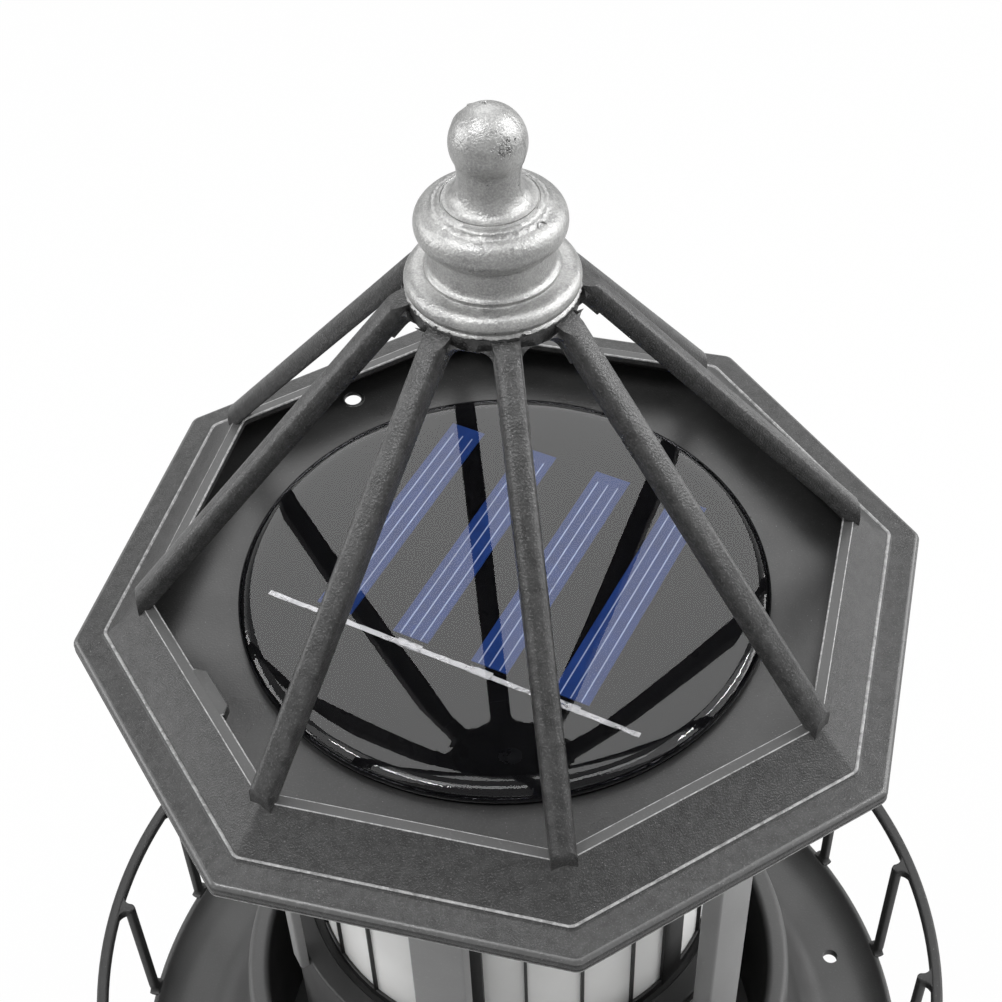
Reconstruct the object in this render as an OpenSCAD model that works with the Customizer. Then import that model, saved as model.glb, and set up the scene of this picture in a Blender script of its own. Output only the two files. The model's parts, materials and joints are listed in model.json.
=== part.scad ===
// Solar garden lighthouse with a cage roof, a round lantern and a rotating beacon.
// Millimetres, +Z up. The origin is the middle of the base's footprint.
// Azimuths are degrees from the front (-Y) towards the right (+X).

/* [Tower] */
// Height of the rubber feet under the base
foot_h = 2; // [1:0.5:4]
// Radius of one rubber foot
foot_r = 6; // [4:0.5:9]
// Height of the stepped base plinth
plinth_h = 18; // [14:1:26]
// Radius of the plinth's lowest step
plinth_r = 84; // [80:1:95]
// Height of the tapered tower wall
tower_h = 92; // [80:1:160]
// Outer radius of the tower at its foot
tower_bottom_r = 72; // [68:1:76]
// Outer radius of the tower at its top
tower_top_r = 60; // [56:1:66]
// Wall of the tower, the plinth and the corbel
wall = 2.4; // [1.8:0.1:3]
// Width of a tower window
window_w = 14; // [10:1:20]
// Height of a tower window up to its arch
window_h = 18; // [12:1:22]
// Number of tower windows, spread round the tower beside the door
window_count = 3; // [2:1:4]
// Width of the door
door_w = 24; // [18:1:28]
// Height of the door up to its arch
door_h = 36; // [28:1:42]

/* [Gallery] */
// Height of the corbel under the gallery
corbel_h = 16; // [12:1:24]
// Thickness of the gallery deck
deck_t = 2.4; // [2:0.1:3.2]
// Outer radius of the gallery deck
deck_r = 92.4; // [91:0.2:100]
// Height of the deck's upturned edge
deck_edge_h = 5; // [3:0.5:8]
// Height of the collar above the deck floor
collar_h = 42.9; // [38:0.1:60]
// Outer radius of the collar's lip
collar_r = 62.7; // [61:0.1:66]
// Width of the collar's lip
collar_lip_w = 4.9; // [4:0.1:6]
// Width of the hollow curve that the collar flares out with
flare_w = 15.8; // [12:0.1:18]
// Radius of a drain hole in the gallery deck
deck_drain_r = 1.9; // [1:0.1:3]
// Gap between the deck's edge and the inside of the rail
rail_gap = 2.5; // [1.5:0.1:5]
// Height of the rail's top above the deck's edge
rail_h = 37.6; // [30:0.1:50]
// Width of the rail's bars
rail_bar = 2.5; // [2:0.1:3.5]
// Number of rail posts
post_count = 20; // [12:1:28]

/* [Lantern] */
// Height of the eave's lower edge above the deck floor
lantern_h = 164.6; // [155:0.1:200]
// Outer radius of the dark drum that the glazing stands on
drum_r = 49.9; // [47:0.1:52]
// Height of the drum's edge above the deck floor
drum_h = 79.2; // [70:0.1:90]
// Depth of the groove in the drum's top that holds the glazing
glazing_sink = 2.4; // [1:0.1:5]
// Open width of that groove outside the glazing
groove_w = 1.8; // [0.5:0.1:3]
// Outer radius of the glazing bars
glazing_r = 43.4; // [42:0.1:46]
// Depth of the glazing bars
glazing_bar_t = 0.6; // [0.4:0.1:2.4]
// Width of the six wide glazing bars
wide_bar_w = 6; // [4:0.1:8]
// Width of the thin glazing bars
thin_bar_w = 0.6; // [0.5:0.1:2]
// Wall of the frosted diffuser
diffuser_t = 1.5; // [1:0.1:2]
// Outer radius of the six lantern posts
post_r = 57.4; // [56:0.1:57.5]
// Width of a lantern post
post_w = 9.8; // [7:0.1:12]
// Depth of a lantern post
post_t = 4.4; // [3:0.1:5.4]
// Azimuth of the first lantern post
post_azimuth = -21.3; // [-30:0.1:30]
// How far a lantern post reaches down beside the drum
post_lap = 6.6; // [4:0.1:12]
// Thickness of the ring that ties the posts together
ring_t = 3.2; // [2.4:0.1:4]

/* [Roof] */
// Corner radius of the rim's outer edge
rim_r = 65.2; // [63:0.1:68]
// Width of the slope below the rim, over the corners
slope_w = 7.7; // [6:0.1:10]
// Width of the flat flange below the slope, over the corners
flange_w = 5.7; // [4.5:0.1:8]
// Height of the eave's upright lip
eave_lip_h = 2.6; // [2:0.1:4]
// Width of the rim's flat top
rim_w = 2.3; // [1.6:0.1:3]
// Height of the rim above the eave's lower edge
rim_h = 10.4; // [8:0.1:14]
// Wall of the roof moulding
roof_wall = 2; // [1.6:0.1:2.4]
// Height of the roof floor above the eave's lower edge
floor_h = 2.4; // [2.2:0.1:4]
// Radius of a drain hole in the roof floor
roof_drain_r = 1.7; // [1:0.1:2.4]
// Width of the snap tab on the rim's inner edge
rim_tab_w = 11.7; // [8:0.1:16]
// Number of cage ribs
rib_count = 8; // [8:8:8]
// Width of a cage rib
rib_w = 4.3; // [3:0.1:5]
// Depth of a cage rib
rib_t = 3.6; // [3:0.1:4.4]
// Radius of the hub that the ribs meet at
hub_r = 13.5; // [12:0.1:16]
// Thickness of the hub
hub_t = 3; // [2.4:0.1:5]
// Height of the hub's top above the eave's lower edge
hub_h = 73; // [60:0.1:90]

/* [Finial] */
// Radius of the finial's foot flange
finial_flange_r = 13.9; // [13:0.1:16]
// Radius of the finial's waist
finial_waist_r = 9.7; // [8:0.1:11]
// Radius of the finial's upper bead
finial_bead_r = 11.8; // [10.5:0.1:13]
// Radius of the finial's neck
finial_neck_r = 4.9; // [4:0.1:5.4]
// Radius of the ball on top
ball_r = 5.9; // [5.6:0.1:7.5]

/* [Solar panel] */
// Radius of the round solar panel
panel_r = 48.5; // [46:0.1:52]
// Height of the clear cover over the roof floor
panel_h = 3.8; // [3:0.1:5]
// Length of a solar cell strip
cell_l = 52; // [40:1:54]
// Width of a solar cell strip
cell_w = 7.1; // [5:0.1:9]
// Spacing of the cell strips
cell_pitch = 15.7; // [12:0.1:17]
// Number of cell strips
cell_count = 4; // [2:1:4]
// Azimuth that the strips point along
cell_angle = 35.4; // [0:0.1:90]
// Length of the bus ribbon
ribbon_l = 73.4; // [66:0.1:76]

/* [Mechanism] */
// Outer radius of the case that hangs under the roof floor
case_r = 37; // [36.5:0.1:38.5]
// Height of that case
case_h = 26; // [24:0.1:30]
// Wall of that case
case_wall = 1.8; // [1.5:0.1:2.2]
// Radius of the motor
motor_r = 10; // [8:0.1:10.5]
// Height of the motor
motor_h = 16; // [12:0.1:18]
// Radius of the motor's shaft
shaft_r = 1; // [0.8:0.1:1.2]
// Size of a gear tooth, as pitch diameter per tooth
gear_module = 1; // [0.9:0.05:1]
// Number of teeth on the motor pinion
pinion_teeth = 15; // [14:1:16]
// Number of teeth on the beacon gear
beacon_teeth = 33; // [31:1:34]
// Thickness of both gears
gear_t = 4; // [3:0.1:5]
// Outer radius of the fixed tube that the beacon turns on
axle_r = 4; // [3.5:0.1:5]
// Radius of the beacon's turntable
turntable_r = 26; // [22:0.1:29]
// Height of the beacon's housing
housing_h = 28; // [25:0.5:31]
// Radius of the battery
battery_r = 7.1; // [5:0.1:7.2]
// Length of the battery
battery_l = 43; // [40:0.5:44]
// Travel of the on-off switch
switch_travel = 3; // [2:0.5:4]

/* [Fits] */
// Radial running clearance of the turning parts
running_gap = 0.06; // [0.03:0.01:0.1]
// Gap between parts that lift or slide past each other
sliding_gap = 0.3; // [0.2:0.05:0.5]
// Radius of the small screws
screw_r = 1.3; // [1:0.1:1.5]
// Radius of the small screws' heads
screw_head_r = 2.6; // [2:0.1:3]

/* [Hidden] */
$fn = 96;

// Heights of the stack, from the ground up
z_tower = foot_h + plinth_h;
z_corbel = z_tower + tower_h;
z_deck_under = z_corbel + corbel_h;
z_deck = z_deck_under + deck_t;
z_edge = z_deck + deck_edge_h;
z_rail = z_edge + rail_h;
z_lip = z_deck + collar_h;
z_drum = z_deck + drum_h;
z_glass = z_drum - glazing_sink;
z_eave = z_deck + lantern_h;
z_rim = z_eave + rim_h;
z_hub = z_eave + hub_h;
z_floor = z_eave + floor_h;
floor_t = roof_wall;
z_floor_under = z_floor - floor_t;
z_ring = z_floor_under - ring_t;

// Radii that follow from the ones above
collar_inner_r = collar_r - collar_lip_w;
rail_r = deck_r + rail_gap + rail_bar;
rail_post_r = deck_r + rail_gap / 2 + rail_bar / 2;
diffuser_r = glazing_r - glazing_bar_t - 0.1;
diffuser_inner_r = diffuser_r - diffuser_t;
ring_hole_r = diffuser_inner_r;
drum_mouth_r = diffuser_inner_r - 2;
rim_inner_r = rim_r - rim_w;
slope_r = rim_r + slope_w;
eave_r = slope_r + flange_w;
corner_to_face = cos(180 / rib_count);
screw_gap = 0.1;
screw_head_h = 1.6;
screw_sink_r = screw_head_r + 0.2;

// Mechanism
z_case = z_floor_under - case_h;
gear_centre = gear_module * (pinion_teeth + beacon_teeth) / 2 + 0.1;
washer_t = 0.8;
z_gear = z_case - washer_t - gear_t;
z_pinion = z_gear + sliding_gap;
turntable_t = 2;
z_turntable = z_gear - turntable_t;
axle_l = 15;
z_axle = z_case - axle_l;
led_board_r = 9;
led_board_t = 1.6;
z_led = z_axle - led_board_t;
housing_wall = 1.6;
panel_tray_t = 1;
cell_t = 0.3;
z_cells = z_floor + panel_tray_t;
cell_along = 6.2;
cell_across = -0.7;
ribbon_along = -21.7;
ribbon_w = 1.2;
ribbon_t = 0.15;

// Turns its children to an azimuth, so that their -Y side faces it
module at_azimuth(a) {
    rotate([0, 0, a])
        children();
}

// Copies its children round the axis
module ring_of(count, start = 0) {
    for (i = [0 : count - 1])
        at_azimuth(start + i * 360 / count)
            children();
}

// Points of an elliptic arc
function arc(cx, cy, a, b, from, to, steps) =
    [for (i = [0 : steps]) let (t = from + (to - from) * i / steps) [cx + a * cos(t), cy + b * sin(t)]];

// Tube between two radii
module tube(outer, inner, h) {
    difference() {
        cylinder(r = outer, h = h);
        translate([0, 0, -1])
            cylinder(r = inner, h = h + 2);
    }
}

// Pan-head screw with a cross slot, its head under z = 0 and its shank going up
module screw(length) {
    translate([0, 0, -0.2])
        cylinder(r = screw_r - screw_gap, h = length + 0.2);
    difference() {
        translate([0, 0, -screw_head_h])
            cylinder(r = screw_head_r, h = screw_head_h);
        for (a = [0, 90])
            rotate([0, 0, a])
                translate([0, 0, -screw_head_h])
                    cube([0.6, 3, 1.4], center = true);
    }
}

// Arched outline, standing on the X axis, for the door and the windows
module arch_outline(w, h) {
    translate([-w / 2, 0])
        square([w, h]);
    translate([0, h])
        circle(r = w / 2, $fn = 48);
}

// Upright arched block that reaches from the axis out through the front wall
module arch_block(w, h, reach) {
    rotate([90, 0, 0])
        linear_extrude(reach)
            arch_outline(w, h);
}

// Radius of the tower's outside at a height
function tower_r(z) = tower_bottom_r + (tower_top_r - tower_bottom_r) * (z - z_tower) / tower_h;

// Cone frustum that follows the tower's outside, moved in by a depth
module tower_cone(depth) {
    translate([0, 0, z_tower])
        cylinder(r1 = tower_bottom_r - depth, r2 = tower_top_r - depth, h = tower_h);
}

// Base
foot_count = 4;
foot_ring_r = plinth_r - 12;
foot_azimuth = 45;
module foot_pads() {
    color("#181818")
        ring_of(foot_count, foot_azimuth)
            translate([0, -foot_ring_r, 0])
                cylinder(r = foot_r, h = foot_h);
}

plate_t = 2.4;
plate_r = plinth_r - wall - sliding_gap;
bottom_boss_r = 3.2;
bottom_boss_h = plinth_h - plate_t - wall - 1.6;
screw_sink = 1.8;
module bottom_plate() {
    color("#2a2a2a")
        difference() {
            translate([0, 0, foot_h])
                cylinder(r = plate_r, h = plate_t);
            ring_of(foot_count)
                translate([0, -foot_ring_r, 0]) {
                    translate([0, 0, foot_h - 1])
                        cylinder(r = screw_r, h = plate_t + 2);
                    cylinder(r = screw_sink_r, h = foot_h + screw_sink);
                }
        }
}

module bottom_screws() {
    color("#8c8c8c")
        ring_of(foot_count)
            translate([0, -foot_ring_r, foot_h + screw_sink])
                screw(6.5);
}

step_h = plinth_h / 3;
step_w = 4;
module base_plinth() {
    color("#3c3c3c") {
        translate([0, 0, foot_h])
            rotate_extrude()
                polygon([
                    [plinth_r - wall, 0],
                    [plinth_r, 0],
                    [plinth_r, step_h],
                    [plinth_r - 1, step_h + 1],
                    [plinth_r - step_w, step_h + 1],
                    [plinth_r - step_w, step_h * 2],
                    [plinth_r - step_w - 1, step_h * 2 + 1],
                    [tower_bottom_r + 2, plinth_h - 1],
                    [tower_bottom_r + 1, plinth_h],
                    [tower_bottom_r - 8, plinth_h],
                    [tower_bottom_r - 8, plinth_h - wall],
                    [plinth_r - step_w - wall - 2, step_h * 2 - 1],
                    [plinth_r - step_w - wall - 2, step_h + 1 - wall],
                    [plinth_r - wall, step_h - wall]
                ]);
        ring_of(foot_count)
            translate([0, -foot_ring_r, foot_h + plate_t])
                tube(bottom_boss_r, screw_r - screw_gap, bottom_boss_h);
    }
}

// Tower
window_z = z_tower + 46;
door_z = z_tower + 3;
frame_w = 2.4;
frame_raise = 1.4;
window_azimuths = [for (i = [1 : window_count]) i * 360 / (window_count + 1)];
module tower_wall() {
    color("#3a3a3a")
        difference() {
            union() {
                tower_cone(0);
                // Raised frames round the door and the windows
                intersection() {
                    tower_cone(-frame_raise);
                    union() {
                        translate([0, 0, door_z])
                            arch_block(door_w + 2 * frame_w, door_h, plinth_r);
                        for (a = window_azimuths)
                            at_azimuth(a)
                                translate([0, 0, window_z - frame_w])
                                    arch_block(window_w + 2 * frame_w, window_h + frame_w, plinth_r);
                    }
                }
            }
            translate([0, 0, z_tower - 1])
                cylinder(r1 = tower_bottom_r - wall, r2 = tower_top_r - wall, h = tower_h + 2);
            translate([0, 0, door_z - 1])
                arch_block(door_w, door_h + 1, plinth_r);
            for (a = window_azimuths)
                at_azimuth(a)
                    translate([0, 0, window_z])
                        arch_block(window_w, window_h, plinth_r);
        }
}

// Pane or panel that fills an arched opening, set back from the tower's face
module arch_fill(w, h, z, thickness, inset) {
    intersection() {
        difference() {
            tower_cone(inset);
            tower_cone(inset + thickness);
        }
        translate([0, 0, z])
            arch_block(w - 0.2, h, plinth_r);
    }
}

door_inset = 0.4;
plank_groove_w = 0.6;
tower_lean = atan2(tower_bottom_r - tower_top_r, tower_h);
module door_panel() {
    color("#2e2e2e")
        difference() {
            arch_fill(door_w, door_h, door_z, wall - door_inset, door_inset);
            // Grooves between four planks
            for (x = [-1 : 1])
                translate([x * door_w / 4, -tower_r(door_z) - 1, door_z])
                    rotate([-tower_lean, 0, 0])
                        cube([plank_groove_w, 3.6, 2 * (door_h + door_w)], center = true);
        }
}

module window_panes() {
    color("#c8c8c8")
        for (a = window_azimuths)
            at_azimuth(a)
                arch_fill(window_w, window_h, window_z, 1.2, 0.8);
}

// Gallery
corbel_r = deck_r - 12.6;
module gallery_corbel() {
    color("#3a3a3a")
        rotate_extrude()
            polygon(concat(
                [[tower_top_r - wall, z_corbel], [tower_top_r, z_corbel]],
                arc(corbel_r, z_corbel + 2, corbel_r - tower_top_r, corbel_h - 5, 180, 90, 8),
                [[corbel_r, z_deck_under], [tower_top_r - wall, z_deck_under]]
            ));
}

deck_hole_r = 18;
deck_drain_azimuth = 95.4;
deck_drain_pos = deck_r - 10.4;
flare_z = z_lip - 8;
flare_r = collar_r + 0.5 + flare_w;
module gallery_deck() {
    color("#3f3f3f")
        difference() {
            rotate_extrude()
                polygon(concat(
                    [[deck_hole_r, z_deck_under], [deck_hole_r, z_deck], [collar_inner_r, z_deck]],
                    arc(collar_inner_r + 1.4, z_lip - 1.4, 1.4, 1.4, 180, 90, 4),
                    arc(collar_r - 1.4, z_lip - 1.4, 1.4, 1.4, 90, 0, 4),
                    arc(flare_r, flare_z, flare_w, flare_z - z_deck, 180, 270, 12),
                    [[deck_r - 8, z_deck]],
                    arc(deck_r - 8, z_edge, 6.6, deck_edge_h, 285, 350, 5),
                    [
                        [deck_r - 1.4, z_edge],
                        [deck_r, z_edge],
                        [deck_r, z_edge - 3],
                        [deck_r - 2.4, z_deck_under + 1.2],
                        [deck_r - 5, z_deck_under],
                        [flare_r, z_deck_under]
                    ],
                    arc(flare_r, flare_z, flare_w + deck_t - 0.2, flare_z - z_deck_under, 270, 180, 12),
                    [[collar_inner_r + wall, flare_z], [collar_inner_r + wall, z_deck_under]]
                ));
            ring_of(3, deck_drain_azimuth)
                translate([0, -deck_drain_pos, z_deck_under - 1])
                    cylinder(r = deck_drain_r, h = deck_t + 2);
        }
}

rail_z0 = z_edge - 3;
rail_post_azimuth = 3.2;
module gallery_rail() {
    color("#333333")
        translate([0, 0, z_rail - rail_bar])
            tube(rail_r, rail_r - rail_bar, rail_bar);
}

module rail_posts() {
    color("#333333")
        difference() {
            ring_of(post_count, rail_post_azimuth)
                rail_post();
            translate([0, 0, z_rail - rail_bar])
                tube(rail_r + 1, rail_r - rail_bar, rail_bar + 1);
            translate([0, 0, rail_z0 - 1])
                cylinder(r = deck_r, h = z_edge - rail_z0 + 2);
        }
}

// Upright rail post with a knee out to the rail and a knee in to the deck's edge
module rail_post() {
    inner = rail_post_r - rail_bar / 2;
    outer = rail_post_r + rail_bar / 2;
    translate([-rail_bar / 2 + 0.1, 0, 0])
        rotate([90, 0, 90])
            linear_extrude(rail_bar - 0.2)
                mirror([1, 0])
                    polygon([
                        [deck_r - 0.2, rail_z0],
                        [outer - 0.8, rail_z0],
                        [outer, rail_z0 + 1.5],
                        [outer, z_rail - rail_bar - 1.6],
                        [rail_r - rail_bar / 2, z_rail - rail_bar / 2],
                        [rail_r - rail_bar / 2, z_rail],
                        [inner + 0.3, z_rail],
                        [inner, z_rail - 1],
                        [inner, z_edge + 1.6],
                        [deck_r - 0.2, z_edge]
                    ]);
}

// Lantern
module lantern_drum() {
    color("#2b2b2b")
        rotate_extrude()
            polygon([
                [drum_r - wall, z_deck],
                [drum_r, z_deck],
                [drum_r, z_drum - 0.6],
                [drum_r - 0.6, z_drum],
                [glazing_r + groove_w, z_drum],
                [glazing_r + groove_w, z_glass],
                [drum_mouth_r, z_glass],
                [drum_mouth_r, z_glass - wall],
                [drum_r - wall, z_glass - wall]
            ]);
}

// Five posts 60 degrees apart; the locating rib stands near the sixth place
lantern_post_count = 5;
lantern_post_step = 60;
module at_lantern_posts() {
    for (i = [0 : lantern_post_count - 1])
        at_azimuth(post_azimuth + i * lantern_post_step)
            children();
}

lug_h = 4;
z_post = z_drum - post_lap;
module lantern_frame() {
    color("#757575")
        at_lantern_posts()
            difference() {
                intersection() {
                    union() {
                        translate([-post_w / 2, -post_r, z_post])
                            cube([post_w, post_t, z_ring - z_post]);
                        // Lug that stands the post off the drum
                        translate([-post_w / 2, -post_r, z_post])
                            cube([post_w, post_r - drum_r + 2, lug_h]);
                    }
                    translate([0, 0, z_post - 1])
                        cylinder(r = post_r, h = z_ring - z_post + 1);
                }
                translate([0, 0, z_post - 1])
                    cylinder(r = drum_r, h = lug_h + 2);
                translate([0, -post_r + post_t / 2, z_ring - 8])
                    cylinder(r = screw_r, h = 9);
            }
}

module lantern_ring() {
    color("#3a3a3a")
        difference() {
            translate([0, 0, z_ring])
                tube(collar_inner_r, ring_hole_r, ring_t);
            at_lantern_posts()
                translate([0, -post_r + post_t / 2, z_ring - 1]) {
                    cylinder(r = screw_r, h = ring_t + 2);
                    translate([0, 0, ring_t + 1 - screw_sink])
                        cylinder(r = post_t / 2, h = screw_sink + 1);
                }
        }
}

module ring_screws() {
    color("#8c8c8c")
        at_lantern_posts()
            translate([0, -post_r + post_t / 2, z_ring + ring_t - screw_sink])
                rotate([180, 0, 0]) {
                    cylinder(r = screw_r - screw_gap, h = 8);
                    translate([0, 0, 0.1 - screw_sink])
                        cylinder(r = post_t / 2 - 0.2, h = screw_sink - 0.1);
                }
}

// Bars stand behind the posts, with three thin bars between two wide ones
glazing_ring_h = 2.4;
bar_azimuth = post_azimuth + 1.3;
bar_count = 24;
bar_step = 360 / bar_count;
function bar_half(i) = (i % 4 == 0 ? wide_bar_w : thin_bar_w) / 2;
// Corner of a bar: its side (-1 or 1) and its distance from the axis, seen from above
function bar_corner(i, side, r) =
    let (a = bar_azimuth + i * bar_step, x = side * bar_half(i))
    [x * cos(a) + r * sin(a), x * sin(a) - r * cos(a)];

module glazing_frame() {
    color("#262626")
        difference() {
            translate([0, 0, z_glass])
                tube(glazing_r, glazing_r - glazing_bar_t, z_ring - z_glass);
            for (i = [0 : bar_count - 1])
                translate([0, 0, z_glass + glazing_ring_h])
                    linear_extrude(z_ring - z_glass - 2 * glazing_ring_h)
                        polygon([
                            bar_corner(i, 1, glazing_r - 4),
                            bar_corner(i, 1, glazing_r + 1),
                            bar_corner(i + 1, -1, glazing_r + 1),
                            bar_corner(i + 1, -1, glazing_r - 4)
                        ]);
        }
}

module glazing_diffuser() {
    color("#d8d8d8", 0.7)
        translate([0, 0, z_glass])
            tube(diffuser_r, diffuser_inner_r, z_ring - z_glass);
}

key_azimuth = -70.3;
key_w = 4.3;
key_t = 1.9;
key_overlap = 2.2;
module keying_rib() {
    color("#8a8a8a")
        at_azimuth(key_azimuth)
            difference() {
                translate([-key_w / 2, -drum_r - key_t, z_drum - key_overlap])
                    cube([key_w, key_t + 2, z_ring - z_drum + key_overlap]);
                translate([0, 0, z_drum - key_overlap - 1])
                    cylinder(r = drum_r, h = z_ring - z_drum + key_overlap + 2);
            }
}

// Roof
module roof_shell() {
    color("#404040") {
        rotate_extrude($fn = rib_count)
            polygon(concat(
                [
                    [floor_r, z_floor_under],
                    [slope_r, z_eave + eave_lip_h + 0.7 - roof_wall],
                    [eave_r - roof_wall, z_eave + eave_lip_h - roof_wall],
                    [eave_r - roof_wall, z_eave],
                    [eave_r - 0.5, z_eave],
                    [eave_r, z_eave + 0.5]
                ],
                arc(eave_r - 0.9, z_eave + eave_lip_h - 0.9, 0.9, 0.9, 0, 90, 3),
                [
                    [slope_r, z_eave + eave_lip_h + 0.7],
                    [(slope_r + rim_r) / 2 - 0.4, (z_eave + eave_lip_h + z_rim) / 2 - 0.1],
                    [rim_r, z_rim],
                    [rim_inner_r, z_rim],
                    [rim_inner_r, z_rim - rim_lip_h],
                    [floor_r, z_floor]
                ]
            ));
        // Snap tab in the middle of the left face
        at_azimuth(-67.5)
            translate([-rim_tab_w / 2, -rim_inner_r * corner_to_face - 0.5, z_rim - 2])
                cube([rim_tab_w, 2.1, 2]);
    }
}

roof_drain_pos = floor_r - 9.9;
roof_drain_azimuth = -157.5;
cable_hole_r = 3;
floor_r = slope_r - 2.9;
rim_lip_h = 1.4;
case_screw_pos = case_r - 6;
case_screw_azimuths = [0, 50, 130, 180];
module at_case_screws() {
    for (a = case_screw_azimuths)
        at_azimuth(a)
            translate([0, -case_screw_pos, 0])
                children();
}

module roof_floor() {
    color("#3a3a3a")
        difference() {
            translate([0, 0, z_floor_under])
                linear_extrude(floor_t)
                    circle(r = floor_r, $fn = rib_count);
            ring_of(2, roof_drain_azimuth)
                translate([0, -roof_drain_pos, z_floor_under - 1])
                    cylinder(r = roof_drain_r, h = floor_t + 2);
            at_case_screws()
                translate([0, 0, z_floor_under - 1])
                    cylinder(r = screw_r, h = floor_t);
            translate([0, 0, z_floor_under - 1])
                cylinder(r = cable_hole_r, h = floor_t + 2);
        }
}

// One cage rib: a bar with bevelled outer edges from the rim's corner up to the hub
rib_rise = hub_h - 0.7 - rim_h;
rib_run = rim_r - hub_r;
rib_slope = atan2(rib_rise, rib_run);
rib_l = sqrt(rib_rise * rib_rise + rib_run * rib_run);
module rib() {
    translate([0, -rim_r, z_rim])
        rotate([rib_slope, 0, 0])
            translate([0, -4, 0])
                rotate([-90, 0, 0])
                    linear_extrude(rib_l + 8)
                        polygon([
                            [-rib_w / 2, rib_t],
                            [rib_w / 2, rib_t],
                            [rib_w / 2, rib_t * 0.4],
                            [rib_w * 0.24, 0],
                            [-rib_w * 0.24, 0],
                            [-rib_w / 2, rib_t * 0.4]
                        ]);
}

module roof_cage() {
    color("#3a3a3a")
        difference() {
            union() {
                intersection() {
                    ring_of(rib_count)
                        rib();
                    translate([0, 0, z_rim])
                        difference() {
                            cylinder(r = rim_r, h = z_hub - z_rim - 0.4);
                            translate([0, 0, -1])
                                cylinder(r = hub_r - 3, h = z_hub - z_rim + 2);
                        }
                }
                translate([0, 0, z_hub - hub_t])
                    cylinder(r = hub_r, h = hub_t);
            }
            translate([0, 0, z_hub - hub_t - 1])
                cylinder(r = screw_r, h = hub_t + 2);
        }
}

// Turned finial: flange, waist, bead, step, neck and ball
flange_t = 3.6;
waist_h = 6.6;
bead_t = 6;
neck_z = z_hub + 20.4;
ball_z = z_hub + 26.1;
module finial() {
    color("#b4b4b4")
        difference() {
            rotate_extrude()
                polygon(concat(
                    [[0, z_hub], [finial_flange_r - 0.8, z_hub]],
                    arc(finial_flange_r - 1.8, z_hub + flange_t / 2, 1.8, flange_t / 2, -60, 90, 8),
                    [[finial_waist_r + 0.5, z_hub + flange_t]],
                    [[finial_waist_r + 0.5, z_hub + flange_t + 0.8]],
                    arc(finial_waist_r + 1.6, z_hub + flange_t + 0.8 + 2.6, 1.8, 2.6, 260, 180, 5),
                    [[finial_waist_r, z_hub + flange_t + waist_h - 0.8]],
                    arc(finial_bead_r - 2.9, z_hub + flange_t + waist_h - 0.9 + bead_t / 2,
                        2.9, bead_t / 2, -80, 80, 9),
                    [[finial_neck_r + 2.6, z_hub + flange_t + waist_h + bead_t - 0.8]],
                    arc(finial_neck_r + 2.4, neck_z, 2.4, neck_z - z_hub - flange_t - waist_h - bead_t + 0.4,
                        270, 180, 6),
                    [for (i = [0 : 12]) let (t = -56 + 146 * i / 12) [ball_r * cos(t), ball_z + ball_r * sin(t)]]
                ));
            translate([0, 0, z_hub - 1])
                cylinder(r = screw_r, h = 12);
        }
}

module finial_screw() {
    color("#8c8c8c")
        translate([0, 0, z_hub - hub_t])
            screw(12);
}

// Solar panel
module panel_tray() {
    color("#101010")
        translate([0, 0, z_floor])
            difference() {
                cylinder(r = panel_r, h = panel_tray_t);
                translate([0, 0, -1])
                    cylinder(r = cable_hole_r, h = 2 + panel_tray_t);
            }
}

module solar_cells() {
    color("#2c3f78")
        rotate([0, 0, -cell_angle])
            for (i = [0 : cell_count - 1])
                translate([(i - (cell_count - 1) / 2) * cell_pitch + cell_across - cell_w / 2,
                           cell_along - cell_l / 2, z_cells])
                    cube([cell_w, cell_l, cell_t]);
}

module bus_ribbon() {
    color("#c8c8c8")
        rotate([0, 0, -cell_angle])
            translate([-ribbon_l / 2, ribbon_along - ribbon_w / 2, z_cells])
                cube([ribbon_l, ribbon_w, ribbon_t]);
}

cover_gap_t = 0.5;
cover_edge_r = 1.6;
module panel_cover() {
    color("#20202a", 0.35)
        rotate_extrude()
            polygon(concat(
                [[0, z_cells + cover_gap_t], [panel_r - 1, z_cells + cover_gap_t], [panel_r - 1, z_cells],
                 [panel_r, z_cells]],
                arc(panel_r - cover_edge_r, z_floor + panel_h - cover_edge_r - 0.4, cover_edge_r, cover_edge_r,
                    0, 80, 5),
                [
                    [panel_r * 0.7, z_floor + panel_h - 0.15],
                    [panel_r * 0.4, z_floor + panel_h],
                    [0, z_floor + panel_h]
                ]
            ));
}

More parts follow.
